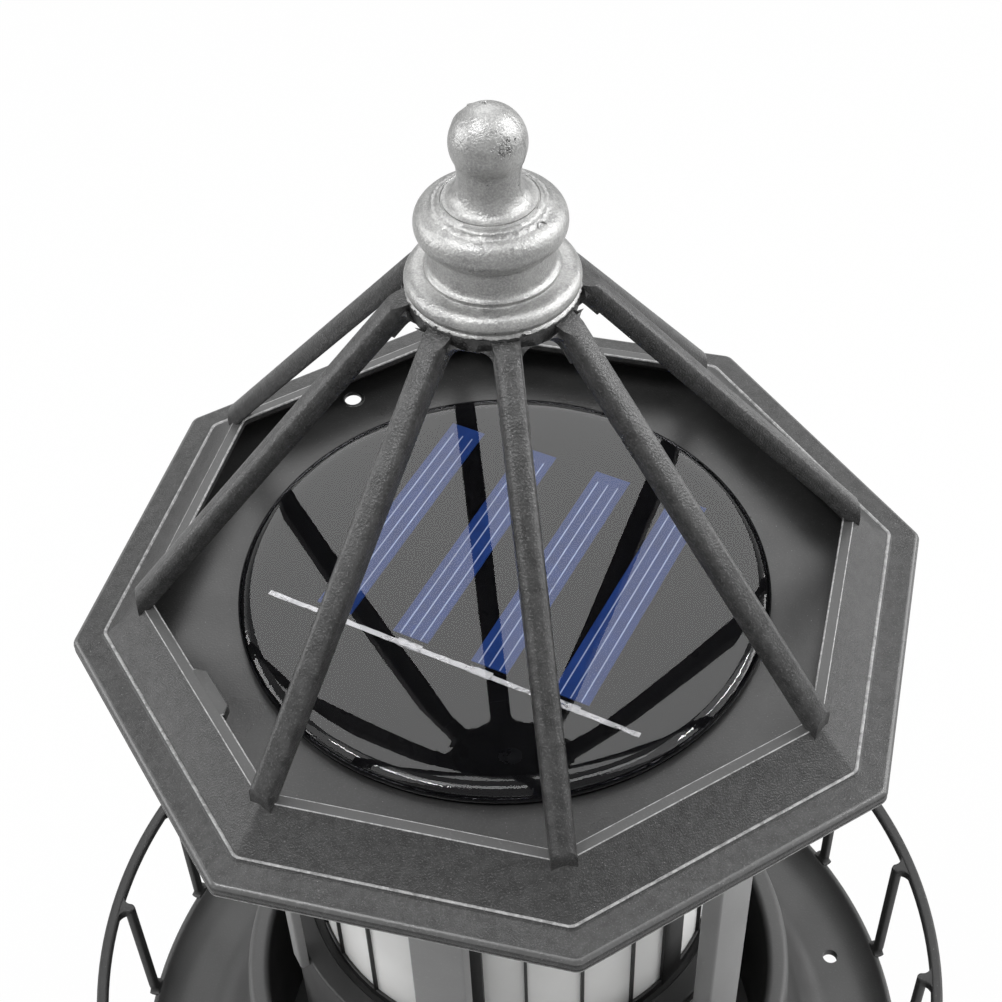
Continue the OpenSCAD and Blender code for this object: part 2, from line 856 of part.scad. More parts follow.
// Case under the roof floor, which holds the works
case_inner_r = case_r - case_wall;
z_motor = z_case + case_wall;
boss_r = 4;
boss_ledge_t = 6;
stand_off_r = 1.8;
switch_x = -29.5;
switch_l = 10;
switch_w = 5;
slider_w = 2.6;
slider_l = 3;
slot_l = slider_l + switch_travel + 2 * sliding_gap;
switch_h = 6;
slider_proud = 2.4;
slider_deep = 2.7;
module mechanism_case() {
    color("#2e2e2e")
        difference() {
            union() {
                difference() {
                    translate([0, 0, z_case])
                        cylinder(r = case_r, h = case_h);
                    translate([0, 0, z_case + case_wall])
                        cylinder(r = case_inner_r, h = case_h);
                }
                at_case_screws()
                    translate([0, 0, z_case])
                        cylinder(r = boss_r, h = case_h);
                // Thrust face for the beacon
                translate([0, 0, z_case - washer_t + 0.1])
                    cylinder(r = axle_r + 2, h = washer_t);
                // Stand-offs for the circuit board
                for (y = [-board_post_y, board_post_y])
                    translate([board_x, y, z_case + case_wall])
                        cylinder(r = stand_off_r, h = board_lift);
            }
            at_case_screws() {
                translate([0, 0, z_case - 1])
                    cylinder(r = screw_r, h = case_h + 2);
                translate([0, 0, z_case - 1])
                    cylinder(r = screw_sink_r, h = case_h + 1 - boss_ledge_t);
            }
            translate([0, 0, z_case - 2])
                cylinder(r = axle_r, h = 5);
            translate([gear_centre, 0, z_case - 1])
                cylinder(r = motor_boss_r + 0.2, h = 4);
            for (y = [-motor_screw_pos, motor_screw_pos])
                translate([gear_centre, y, z_case]) {
                    translate([0, 0, -1])
                        cylinder(r = motor_screw_r, h = 4);
                    translate([0, 0, -1])
                        cylinder(r = motor_screw_r + 0.9, h = 2);
                }
            translate([switch_x - slider_w / 2 - sliding_gap, -slot_l / 2, z_case - 1])
                cube([slider_w + 2 * sliding_gap, slot_l, case_wall + 2]);
        }
}

module case_screws() {
    color("#8c8c8c")
        at_case_screws()
            translate([0, 0, z_floor_under - boss_ledge_t])
                screw(boss_ledge_t + floor_t - 1.2);
}

holder_wall = 1.2;
holder_end_t = 1.6;
battery_play = 0.2;
battery_nub_r = 2.6;
battery_nub_h = 1;
battery_x = -battery_r - 8.5;
battery_z = z_case + case_wall + holder_wall + battery_r;
contact_t = 0.8;
contact_w = 8;
module battery_holder() {
    color("#1c1c1c")
        translate([battery_x - battery_r - battery_play - holder_wall,
                   -battery_l / 2 - contact_t - holder_end_t, z_case + case_wall])
            difference() {
                cube([
                    2 * (battery_r + battery_play + holder_wall),
                    battery_l + 2 * (contact_t + holder_end_t),
                    battery_r + 1
                ]);
                translate([holder_wall, holder_end_t, holder_wall])
                    cube([2 * (battery_r + battery_play), battery_l + 2 * contact_t, battery_r + 2]);
            }
}

module battery_cell() {
    color("#4f7d5a")
        translate([battery_x, battery_l / 2, battery_z])
            rotate([90, 0, 0]) {
                cylinder(r = battery_r, h = battery_l - battery_nub_h);
                translate([0, 0, battery_l - battery_nub_h])
                    cylinder(r = battery_nub_r, h = battery_nub_h);
            }
}

module battery_contacts() {
    color("#c0c0c0")
        for (s = [-1, 1])
            translate([battery_x - contact_w / 2, s * (battery_l / 2 + contact_t / 2) - contact_t / 2,
                       battery_z - 5])
                cube([contact_w, contact_t, 7]);
}

board_x = 3;
board_w = 14;
board_l = 30;
board_t = 1.6;
board_post_y = 12;
board_lift = 8;
module circuit_board() {
    color("#2d5a3a")
        translate([0, 0, z_case + case_wall + board_lift]) {
            translate([board_x - board_w / 2, -board_l / 2, 0])
                cube([board_w, board_l, board_t]);
            // Regulator, coil and connector
            translate([board_x - 4, -9, board_t])
                cube([6, 5, 2]);
            translate([board_x, 1, board_t])
                cylinder(r = 3, h = 4);
            translate([board_x - 5, 7, board_t])
                cube([10, 4, 5]);
        }
}

module switch_body() {
    color("#9a9a9a")
        difference() {
            translate([switch_x - switch_w / 2, -switch_l / 2, z_case + case_wall])
                cube([switch_w, switch_l, switch_h]);
            translate([switch_x - slider_w / 2 - sliding_gap, -slot_l / 2, z_case + case_wall - 1])
                cube([slider_w + 2 * sliding_gap, slot_l, 4]);
        }
}

module switch_slider() {
    color("#e0e0e0")
        translate([switch_x - slider_w / 2, -switch_travel / 2 - slider_l / 2, z_case - slider_proud])
            cube([slider_w, slider_l, slider_proud + case_wall + slider_deep]);
}

motor_boss_r = 3;
motor_boss_h = 1.2;
motor_screw_r = 0.9;
motor_screw_pos = 6;
module motor() {
    color("#a8a8a8")
        difference() {
            union() {
                translate([gear_centre, 0, z_motor])
                    cylinder(r = motor_r, h = motor_h);
                translate([gear_centre, 0, z_motor - motor_boss_h])
                    cylinder(r = motor_boss_r, h = 2);
            }
            translate([gear_centre, 0, z_motor - 2])
                cylinder(r = shaft_r + running_gap, h = motor_h);
            for (y = [-motor_screw_pos, motor_screw_pos])
                translate([gear_centre, y, z_motor - 1])
                    cylinder(r = motor_screw_r, h = 4.5);
        }
}

module motor_screws() {
    color("#8c8c8c")
        for (y = [-motor_screw_pos, motor_screw_pos])
            translate([gear_centre, y, z_case]) {
                cylinder(r = motor_screw_r - 0.05, h = case_wall + 3);
                cylinder(r = motor_screw_r + 0.7, h = 1);
            }
}

module motor_shaft() {
    color("#b8b8b8")
        translate([gear_centre, 0, z_pinion])
            cylinder(r = shaft_r, h = z_motor + motor_h - 4 - z_pinion);
}

// Involute gear outline with the given number of teeth
pressure_angle = 25;
addendum = 0.8;
dedendum = 1.05;
tooth_share = 0.45;
function involute(a) = tan(a) - a * PI / 180;
function flank_angle(teeth, r, rb) = r > rb ? involute(acos(rb / r)) * 180 / PI : 0;
function tooth_half_angle(teeth, r, rb, rp) =
    360 * tooth_share / teeth / 2 + flank_angle(teeth, rp, rb) - flank_angle(teeth, r, rb);
module gear_outline(teeth) {
    rp = gear_module * teeth / 2;
    rb = rp * cos(pressure_angle);
    root = rp - dedendum * gear_module;
    tip = rp + addendum * gear_module;
    steps = [root, max(root + 0.1, rb), rp, tip];
    polygon([
        for (i = [0 : teeth - 1])
            for (side = [-1, 1])
                for (k = [0 : 3])
                    let (
                        r = side < 0 ? steps[k] : steps[3 - k],
                        a = i * 360 / teeth + side * tooth_half_angle(teeth, r, rb, rp)
                    )
                    [r * cos(a), r * sin(a)]
    ]);
}

module drive_pinion() {
    color("#e8e8e8")
        translate([gear_centre, 0, z_pinion])
            difference() {
                linear_extrude(z_gear + gear_t - z_pinion)
                    rotate(180 + 180 / pinion_teeth)
                        gear_outline(pinion_teeth);
                translate([0, 0, -1])
                    cylinder(r = shaft_r, h = gear_t + 2);
            }
}

axle_bore_r = 2.4;
axle_flange_r = axle_r + 3;
axle_flange_t = 2;
groove_depth = 0.5;
clip_t = 0.8;
z_clip = z_turntable - 0.1 - clip_t;
module axle_tube() {
    color("#c4c4c4")
        difference() {
            union() {
                translate([0, 0, z_axle])
                    cylinder(r = axle_r, h = axle_l + case_wall + axle_flange_t);
                translate([0, 0, z_case + case_wall])
                    cylinder(r = axle_flange_r, h = axle_flange_t);
            }
            translate([0, 0, z_axle - 1])
                cylinder(r = axle_bore_r, h = axle_l + 10);
            translate([0, 0, z_clip])
                tube(axle_r + 1, axle_r - groove_depth, clip_t);
        }
}

module axle_clip() {
    color("#9c9c9c")
        translate([0, 0, z_clip])
            difference() {
                cylinder(r = axle_r + 2, h = clip_t);
                translate([0, 0, -1])
                    cylinder(r = axle_r - groove_depth, h = clip_t + 2);
                translate([-axle_r + 1, -axle_r - 4, -1])
                    cube([2 * axle_r - 2, 5, clip_t + 2]);
            }
}

module led_board() {
    color("#e4e4e4")
        translate([0, 0, z_led])
            cylinder(r = led_board_r, h = led_board_t);
}

lamp_r = 2.5;
lamp_l = 5;
lamp_pos = 4.5;
module led_lamps() {
    color("#fff4d8")
        for (s = [-1, 1])
            translate([0, s * lamp_pos, z_led - lamp_l]) {
                cylinder(r = lamp_r, h = lamp_l);
                sphere(r = lamp_r, $fn = 32);
            }
}

module beacon_gear() {
    color("#f0f0f0")
        translate([0, 0, z_gear])
            difference() {
                linear_extrude(gear_t)
                    gear_outline(beacon_teeth);
                translate([0, 0, -1])
                    cylinder(r = axle_r + running_gap, h = gear_t + 2);
            }
}

module beacon_turntable() {
    color("#e8e8e8")
        translate([0, 0, z_turntable])
            tube(turntable_r, axle_r + running_gap, turntable_t);
}

housing_w = 30;
housing_d = 38;
lens_r = 10.4;
z_housing = z_turntable - housing_h;
lens_z = z_housing + housing_h / 2;
module beacon_housing() {
    color("#d0d0d0")
        difference() {
            translate([-housing_w / 2, -housing_d / 2, z_housing])
                cube([housing_w, housing_d, housing_h]);
            translate([-housing_w / 2 + housing_wall, -housing_d / 2 + housing_wall, z_housing + housing_wall])
                cube([housing_w - 2 * housing_wall, housing_d - 2 * housing_wall, housing_h]);
            translate([0, housing_d, lens_z])
                rotate([90, 0, 0])
                    cylinder(r = lens_r, h = 2 * housing_d);
        }
}

// Two plano-convex lenses, seated in the housing's round windows
lens_flange_t = 0.8;
lens_bulge = 3;
module beacon_lenses() {
    color("#e8f0ff", 0.5)
        for (s = [0, 180])
            at_azimuth(s)
                translate([0, -housing_d / 2, lens_z])
                    rotate([90, 0, 0])
                        rotate_extrude()
                            polygon(concat(
                                [[0, -housing_wall], [lens_r, -housing_wall], [lens_r, 0],
                                 [lens_r + 1, 0], [lens_r + 1, lens_flange_t]],
                                arc(0, lens_flange_t, lens_r, lens_bulge, 0, 90, 8)
                            ));
}

foot_pads();
bottom_plate();
bottom_screws();
base_plinth();
tower_wall();
door_panel();
window_panes();
gallery_corbel();
gallery_deck();
gallery_rail();
rail_posts();
lantern_drum();
lantern_frame();
lantern_ring();
ring_screws();
glazing_frame();
glazing_diffuser();
keying_rib();
roof_shell();
roof_floor();
roof_cage();
finial();
finial_screw();
panel_tray();
solar_cells();
bus_ribbon();
panel_cover();
mechanism_case();
case_screws();
battery_holder();
battery_cell();
battery_contacts();
circuit_board();
switch_body();
switch_slider();
motor();
motor_screws();
motor_shaft();
drive_pinion();
axle_tube();
axle_clip();
led_board();
led_lamps();
beacon_gear();
beacon_turntable();
beacon_housing();
beacon_lenses();
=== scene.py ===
"""Looks of the solar garden lighthouse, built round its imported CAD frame.

Sizes of the piece are in millimetres and turned to metres by mm(); the studio round it is in metres.
Azimuth 0 is the front (-Y) and grows towards the right (+X), as in the CAD.
"""

import json
import math

import bmesh
import bpy
from mathutils import Matrix, Vector


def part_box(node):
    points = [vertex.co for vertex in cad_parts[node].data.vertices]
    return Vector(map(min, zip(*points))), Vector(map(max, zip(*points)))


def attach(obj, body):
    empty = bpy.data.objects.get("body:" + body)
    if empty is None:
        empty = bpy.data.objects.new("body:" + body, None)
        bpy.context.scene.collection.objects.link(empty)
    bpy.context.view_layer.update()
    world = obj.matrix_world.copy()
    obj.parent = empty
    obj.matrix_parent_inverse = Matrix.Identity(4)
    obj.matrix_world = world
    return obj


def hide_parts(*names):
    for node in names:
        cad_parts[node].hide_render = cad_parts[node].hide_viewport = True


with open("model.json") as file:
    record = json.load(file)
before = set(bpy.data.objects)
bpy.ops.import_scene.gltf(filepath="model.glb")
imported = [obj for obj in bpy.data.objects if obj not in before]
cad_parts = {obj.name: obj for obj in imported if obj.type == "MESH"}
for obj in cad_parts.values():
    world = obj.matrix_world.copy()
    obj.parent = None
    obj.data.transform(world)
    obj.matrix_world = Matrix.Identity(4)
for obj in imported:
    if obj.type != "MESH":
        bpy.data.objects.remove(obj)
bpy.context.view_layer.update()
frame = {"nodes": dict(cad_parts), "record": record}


def reach(node):
    """Foot, top and largest x of a CAD node."""
    low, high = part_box(node)
    return [round(v * 1000, 1) for v in (low.z, high.z, high.x)]


# Heights and radii that the CAD gives
Z_UNDER, Z_LIP, DECK_R = reach("gallery_deck")
Z_DECK, Z_DRUM, DRUM_R = reach("lantern_drum")
Z_POST = reach("lantern_frame")[0]
Z_GLASS, Z_RING, GLASS_R = reach("glazing_frame")
Z_EAVE, Z_RIM, EAVE_R = reach("roof_shell")
FLOOR_FOOT, Z_FLOOR, FLOOR_R = reach("roof_floor")
Z_PANEL, PANEL_R = reach("panel_cover")[1:]
Z_HUB, RIM_R = reach("roof_cage")[1:]
TOP = reach("finial")[1]
Z_RAIL, RAIL_R = reach("gallery_rail")[1:]

# Sizes set from them
Z_EDGE = Z_DECK + 5
SLOPE_R = EAVE_R - 5.7
RIM_IN = RIM_R - 2.3
COLLAR_R = DRUM_R + 12.8
COLLAR_IN = COLLAR_R - 4.9
HUB_R = 13.5
RAIL_BAR = 2.5
BALL_R = 5.9
BALL_Z = TOP - BALL_R

# Places round the axis: first post, turn of the solar strips, drains of the roof floor
POST_R = 57.4
POST_AZIMUTH = -21.3
CELL_ANGLE = 35.4
DRAINS = (-157.5, 22.5)
DRAIN_R = FLOOR_R - 9.9

# Marks of making on the finial: its seam, a sagged patch of lacquer, a burst bubble
SEAM = 58.8
SAG = (1.8, -5.1, TOP - 3.8)
BUBBLE = 45.0

# The eight corners of the roof stand at multiples of this angle
ROOF_SIDES = 8
SIDE_ANGLE = 360 / ROOF_SIDES
FACE_SHARE = math.cos(math.radians(SIDE_ANGLE / 2))
# Sides of turned pieces, and of those whose profile shows up close
ROUND = 128
FINE = 192
AXIS = (0, 0, 0)


def mm(*values):
    """Millimetres to metres, for one value or a point."""
    if len(values) == 1:
        return values[0] / 1000
    return Vector([v / 1000 for v in values])


def at(azimuth, radius, height):
    """Point in metres at an azimuth in degrees, a radius and a height."""
    a = math.radians(azimuth)
    return mm(radius * math.sin(a), -radius * math.cos(a), height)


def bow(cx, cz, a, b, start, end, steps):
    """Points (radius, height) of an elliptic arc between two angles in degrees."""
    turns = [math.radians(start + (end - start) * i / steps) for i in range(steps + 1)]
    return [(cx + a * math.cos(t), cz + b * math.sin(t)) for t in turns]


# Shaping, all through the modelling operators


def fresh():
    """Object mode with nothing selected."""
    if bpy.context.object and bpy.context.object.mode != "OBJECT":
        bpy.ops.object.mode_set(mode="OBJECT")
    bpy.ops.object.select_all(action="DESELECT")


def only(piece):
    """Selects one object and makes it active."""
    fresh()
    piece.select_set(True)
    bpy.context.view_layer.objects.active = piece


def edit(name):
    """Names the newest object and enters edit mode with all of it selected."""
    piece = bpy.context.object
    piece.name = name
    piece.data.name = name
    bpy.ops.object.mode_set(mode="EDIT")
    bpy.ops.mesh.select_mode(type="EDGE")
    bpy.ops.mesh.select_all(action="SELECT")
    return piece


def pick(piece, test, what="FACE"):
    """Selects the faces, edges or points of the edited piece whose centre (mm) and direction pass a test."""
    bpy.ops.mesh.select_all(action="DESELECT")
    bpy.ops.mesh.select_mode(type=what)
    shape = bmesh.from_edit_mesh(piece.data)
    place = piece.matrix_world
    turn = place.to_3x3()
    if what == "FACE":
        for f in shape.faces:
            f.select_set(bool(test(place @ f.calc_center_median() * 1000, turn @ f.normal)))
    elif what == "EDGE":
        for e in shape.edges:
            a, b = (place @ v.co * 1000 for v in e.verts)
            e.select_set(bool(test((a + b) / 2, (b - a).normalized())))
    else:
        for v in shape.verts:
            v.select_set(bool(test(place @ v.co * 1000, None)))
    shape.select_flush_mode()
    bmesh.update_edit_mesh(piece.data)


def settle(piece, crease=30):
    """Turns the faces outward, puts place and size into the mesh and smooths it across small angles."""
    only(piece)
    bpy.ops.object.mode_set(mode="EDIT")
    bpy.ops.mesh.select_all(action="SELECT")
    bpy.ops.mesh.remove_doubles(threshold=mm(0.002))
    bpy.ops.mesh.normals_make_consistent(inside=False)
    only(piece)
    bpy.ops.object.transform_apply(location=True, rotation=True, scale=True)
    bpy.ops.object.shade_smooth_by_angle(angle=math.radians(crease))
    return piece


def turned(name, profile, sides=ROUND, soften=0, crease=30):
    """A ring raised from a circle, one extruded loop for each (radius, height); radius 0 closes it."""
    fresh()
    r, z = profile[0]
    bpy.ops.mesh.primitive_circle_add(vertices=sides, radius=mm(r), location=(0, 0, mm(z)))
    piece = edit(name)
    if soften:
        bpy.ops.mesh.bevel(affect="VERTICES", offset=mm(soften), segments=3)
    ends_open = profile[-1][0] > 0
    loops = profile + profile[:1] if ends_open else profile
    for (r0, z0), (r1, z1) in zip(loops, loops[1:]):
        bpy.ops.mesh.extrude_edges_move()
        bpy.ops.transform.resize(value=(r1 / r0, r1 / r0, 1), center_override=AXIS)
        bpy.ops.transform.translate(value=(0, 0, mm(z1 - z0)))
    if not ends_open:
        bpy.ops.mesh.merge(type="COLLAPSE")
        bpy.ops.mesh.select_all(action="DESELECT")
        bpy.ops.mesh.select_non_manifold()
        bpy.ops.mesh.edge_face_add()
    return settle(piece, crease)


def block(name, place, size, turn=(0, 0, 0)):
    """Cube primitive at its size and place, in edit mode and all selected."""
    fresh()
    bpy.ops.mesh.primitive_cube_add(size=1, location=mm(*place), rotation=turn, scale=mm(*size))
    return edit(name)


def copies(piece, azimuths):
    """Copies of a piece at azimuths round the axis, each with its own mesh; the first is the piece itself."""
    only(piece)
    bpy.ops.object.transform_apply(location=True, rotation=True, scale=True)
    made = [piece]
    for _ in azimuths[1:]:
        only(piece)
        bpy.ops.object.duplicate(linked=False)
        made.append(bpy.context.object)
    for each, azimuth in zip(made, azimuths):
        each.rotation_euler.z = math.radians(azimuth)
        only(each)
        bpy.ops.object.transform_apply(location=True, rotation=True, scale=True)
    return made


def ruffle(piece, test, amount, seed):
    """Moves the points that pass a test at random by up to `amount` millimetres, as drips and burrs do."""
    only(piece)
    bpy.ops.object.mode_set(mode="EDIT")
    pick(piece, test, "VERT")
    bpy.ops.transform.vertex_random(offset=mm(amount), seed=seed)
    fresh()


def flared(half, radius, ahead):
    """Grows the picked end of a bar `half` mm wide each side along `ahead` into a fillet of that radius."""
    steps = 5
    turns = [math.radians(90 * i / steps) for i in range(steps + 1)]
    for t0, t1 in zip(turns, turns[1:]):
        way = Vector(ahead) * mm(radius * (math.sin(t1) - math.sin(t0)))
        bpy.ops.mesh.extrude_region_move(TRANSFORM_OT_translate={"value": way})
        wider = (half + radius * (1 - math.cos(t1))) / (half + radius * (1 - math.cos(t0)))
        bpy.ops.transform.resize(value=(wider, 1, 1), center_override=AXIS)


def joined(name, parts):
    """One object out of several."""
    fresh()
    for each in parts:
        each.select_set(True)
    bpy.context.view_layer.objects.active = parts[0]
    bpy.ops.object.join()
    parts[0].name = name
    parts[0].data.name = name
    return parts[0]


def carved(piece, tools):
    """Takes the tools' shapes out of a piece and removes the tools."""
    for tool in tools:
        cut = piece.modifiers.new("carve", "BOOLEAN")
        cut.operation = "DIFFERENCE"
        cut.solver = "EXACT"
        cut.object = tool
        only(piece)
        bpy.ops.object.modifier_apply(modifier=cut.name)
        only(tool)
        bpy.ops.object.delete()
    return piece


def fit(piece, body, finish, slot_name, *nodes):
    """Lets a piece stand for CAD nodes, ride on their body and wear a material."""
    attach(piece, body)
    if nodes:
        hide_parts(*nodes)
    piece.data.materials.clear()
    piece.data.materials.append(finish)


# Colours and finishes

# Kinds of shader node that come up often
NOISE = "ShaderNodeTexNoise"
RANGE = "ShaderNodeMapRange"
MIX = "ShaderNodeMix"
MATH = "ShaderNodeMath"
BUMP = "ShaderNodeBump"
RAYS = "ShaderNodeLightPath"


def tint(code):
    """An sRGB hex colour as linear RGBA."""
    parts = [int(code[i : i + 2], 16) / 255 for i in (1, 3, 5)]
    return tuple(p / 12.92 if p <= 0.04045 else ((p + 0.055) / 1.055) ** 2.4 for p in parts) + (1.0,)


def every(size):
    """Scale of a pattern that repeats every `size` millimetres."""
    return 1000 / size


def fill(socket, value):
    """Gives a socket a value, or links it to another node's output."""
    if isinstance(value, bpy.types.NodeSocket):
        socket.id_data.links.new(value, socket)
    else:
        socket.default_value = value


def add(tree, kind, *inputs, out=None, **settings):
    """Adds one shader node and gives its output, the first one or `out`.

    Settings name properties or sockets of the node; the other inputs fill its sockets in order.
    """
    made = tree.nodes.new(kind)
    for key, value in settings.items():
        if hasattr(made, key):
            setattr(made, key, value)
        else:
            fill(made.inputs[key.replace("_", " ")], value)
    for socket, value in zip([s for s in made.inputs if s.enabled], inputs):
        fill(socket, value)
    return made.outputs[out] if out else [s for s in made.outputs if s.enabled][0]


def look(name):
    """An empty material, its node tree, its Principled shader, and the object-space position."""
    made = bpy.data.materials.new(name)
    made.use_nodes = True
    tree = made.node_tree
    return made, tree, tree.nodes["Principled BSDF"], add(tree, "ShaderNodeTexCoord", out="Object")


def feed(node, **inputs):
    """Fills a node's inputs by name."""
    for key, value in inputs.items():
        fill(node.inputs[key.replace("_", " ")], value)


def moulded(name, colour, fleck, share, grain, depth, gloss, wave=0.0):
    """Injection-moulded plastic, with clouded gloss and, with `wave`, sink marks that deep.

    Its grain is `grain` mm wide and `depth` mm deep; `share` says how far its tips take the fleck's colour,
    and any share above 0 adds rare pale painted glints.
    """
    made, tree, shader, place = look(name)
    cloud = add(tree, NOISE, place, every(14), 3)
    fine = add(tree, NOISE, place, every(grain), 2, 0.6)
    patches = add(tree, NOISE, place, every(1.9), 3, 0.65)
    paler = [c * 1.2 for c in tint(colour)[:3]] + [1.0]
    base = add(tree, MIX, add(tree, RANGE, cloud, 0.3, 0.7), tint(colour), paler, data_type="RGBA")
    mottle = add(tree, RANGE, patches, 0.35, 0.65, 0.0, 8 * share)
    base = add(tree, MIX, mottle, base, tint(fleck), data_type="RGBA")
    tips = add(tree, RANGE, fine, 0.6 - share, 0.75 - share)
    toned = add(tree, MIX, tips, base, tint(fleck), data_type="RGBA")
    if share:
        # A few rare tips get pale painted glints
        rare = add(tree, NOISE, place, every(grain * 0.9), 1)
        painted_glints = add(tree, RANGE, rare, 0.74, 0.79, 0.0, 0.8)
        toned = add(tree, MIX, painted_glints, toned, tint("#7a7a7a"), data_type="RGBA")
    relief = add(tree, BUMP, Height=fine, Distance=mm(depth))
    if wave:
        sink = add(tree, NOISE, place, every(9), 1)
        relief = add(tree, BUMP, Height=sink, Distance=mm(wave), Normal=relief)
    rough = add(tree, RANGE, cloud, 0.3, 0.7, gloss - 0.05, gloss + 0.06)
    feed(shader, Base_Color=toned, Roughness=rough, IOR=1.52, Normal=relief)
    return made


def silver_paint():
    """Sprayed silver lacquer: metallic grain, pits, a sagged patch, and black plastic at the ragged foot."""
    made, tree, shader, place = look("silver_lacquer_sprayed")
    fine = add(tree, NOISE, place, every(0.32), 3, 0.6)
    coarse = add(tree, NOISE, place, every(0.9), 2)
    cloud = add(tree, NOISE, place, every(4), 3, 0.6)
    # Sag: lacquer that ran and crazed on one cheek of the ball
    far = add(tree, "ShaderNodeVectorMath", place, mm(*SAG), operation="DISTANCE")
    uneven = add(tree, RANGE, coarse, 0.3, 0.7, mm(-0.8), mm(0.8))
    ragged = add(tree, MATH, far, uneven, operation="ADD")
    sag = add(tree, RANGE, ragged, mm(0.8), mm(1.6), 1.0, 0.0)
    crazed = add(tree, "ShaderNodeTexVoronoi", place, every(0.5), feature="DISTANCE_TO_EDGE")
    lines = add(tree, RANGE, crazed, 0.0, 0.09, 1.0, 0.0)
    crack = add(tree, MATH, lines, sag, operation="MULTIPLY")
    # Lacquer thins out over the last tenths above the hub, unevenly
    height = add(tree, "ShaderNodeSeparateXYZ", place, out="Z")
    drips = add(tree, RANGE, add(tree, NOISE, place, every(1.3), 3), 0.3, 0.7, mm(-0.35), mm(0.5))
    edge = add(tree, MATH, height, drips, operation="ADD")
    bare = add(tree, RANGE, edge, mm(Z_HUB + 0.15), mm(Z_HUB + 0.3), 1.0, 0.0)
    pit = add(tree, RANGE, add(tree, NOISE, place, every(1.1), 1), 0.78, 0.8, 0.0, 1.0)
    black = add(tree, MATH, bare, pit, operation="MAXIMUM")
    black = add(tree, MATH, black, crack, operation="MAXIMUM")
    clouded = add(tree, RANGE, cloud, 0.3, 0.7)
    silver = add(tree, MIX, clouded, tint("#8a8a8a"), tint("#a6a6a5"), data_type="RGBA")
    bright = add(tree, RANGE, fine, 0.42, 0.75, 0.0, 0.6)
    silver = add(tree, MIX, bright, silver, tint("#c8c8c6"), data_type="RGBA")
    relief = add(tree, BUMP, Height=fine, Distance=mm(0.08))
    relief = add(tree, BUMP, Height=coarse, Distance=mm(0.11), Normal=relief)
    relief = add(tree, BUMP, Height=black, Distance=mm(-0.12), Normal=relief)
    feed(
        shader,
        Base_Color=add(tree, MIX, black, silver, tint("#1c1c1c"), data_type="RGBA"),
        Metallic=add(tree, RANGE, black, 0, 1, 0.8, 0.0),
        Roughness=add(tree, RANGE, cloud, 0.3, 0.7, 0.32, 0.42),
        Normal=relief,
    )
    return made


def panel_black():
    """Matt black board under the resin; no gloss of its own, since the resin wets it."""
    made, tree, shader, place = look("panel_board_black")
    cloud = add(tree, NOISE, place, every(6), 3)
    toned = add(tree, MIX, cloud, tint("#040405"), tint("#08080a"), data_type="RGBA")
    rough = add(tree, RANGE, cloud, 0.2, 0.8, 0.5, 0.7)
    feed(shader, Base_Color=toned, Roughness=rough, Specular_IOR_Level=0.05)
    return made


def clear_resin():
    """Poured epoxy over the panel: mirror gloss, with ripples that break the streaks on its rolled edge."""
    made, tree, shader, place = look("epoxy_dome_clear")
    swell = add(tree, BUMP, Height=add(tree, NOISE, place, every(22), 1), Distance=mm(0.04))
    height = add(tree, "ShaderNodeSeparateXYZ", place, out="Z")
    rolled = add(tree, RANGE, height, mm(Z_PANEL - 0.75), mm(Z_PANEL - 0.5), 1.0, 0.0)
    ripple = add(tree, MATH, add(tree, NOISE, place, every(1.1), 1), rolled, operation="MULTIPLY")
    relief = add(tree, BUMP, Height=ripple, Distance=mm(0.035), Normal=swell)
    feed(shader, Base_Color=tint("#e4e4ea"), Transmission_Weight=1.0, IOR=1.5, Roughness=0.0, Normal=relief)
    return made


def solar_silicon():
    """Blue silicon with its nitride coat, seen through resin: slight cloudiness and almost no gloss."""
    made, tree, shader, place = look("silicon_blue_nitride")
    cloud = add(tree, NOISE, place, every(5), 3)
    clouded = add(tree, RANGE, cloud, 0.3, 0.7)
    blue = add(tree, MIX, clouded, tint("#123272"), tint("#193f84"), data_type="RGBA")
    grain = add(tree, RANGE, add(tree, NOISE, place, every(0.5), 2), 0.3, 0.7)
    blue = add(tree, MIX, grain, blue, tint("#163a7a"), data_type="RGBA")
    rough = add(tree, RANGE, cloud, 0.3, 0.7, 0.4, 0.5)
    feed(shader, Base_Color=blue, Roughness=rough, Specular_IOR_Level=0.15)
    return made


def metal(name, colour, bright, rough, scratch, dent):
    """Bare metal: scratches `scratch` mm apart along y, tarnish clouds, and dents `dent` mm deep."""
    made, tree, shader, place = look(name)
    stretch = add(tree, "ShaderNodeMapping", place, Scale=(1.0, 0.12, 1.0))
    cloud = add(tree, NOISE, place, every(3), 3)
    relief = add(tree, BUMP, Height=add(tree, NOISE, stretch, every(scratch), 3), Distance=mm(0.01))
    dents = add(tree, NOISE, place, every(1.4), 2)
    feed(
        shader,
        Base_Color=add(tree, MIX, cloud, tint(colour), tint(bright), data_type="RGBA"),
        Metallic=1.0,
        Roughness=add(tree, RANGE, cloud, 0.3, 0.7, rough - 0.06, rough + 0.1),
        Normal=add(tree, BUMP, Height=dents, Distance=mm(dent), Normal=relief),
    )
    return made


def frosted():
    """Frosted diffuser: milky plastic that glows where the room is bright behind it."""
    made, tree, shader, place = look("frosted_polycarbonate")
    cloud = add(tree, NOISE, place, every(12), 2)
    feed(
        shader,
        Base_Color=add(tree, MIX, cloud, tint("#eeeeec"), tint("#fafaf8"), data_type="RGBA"),
        Roughness=add(tree, RANGE, cloud, 0.2, 0.8, 0.42, 0.55),
        Subsurface_Weight=0.6,
        Subsurface_Scale=mm(2),
        Subsurface_Radius=(1.0, 1.0, 1.0),
        Normal=add(tree, BUMP, Height=add(tree, NOISE, place, every(0.3), 2), Distance=mm(0.015)),
    )
    return made


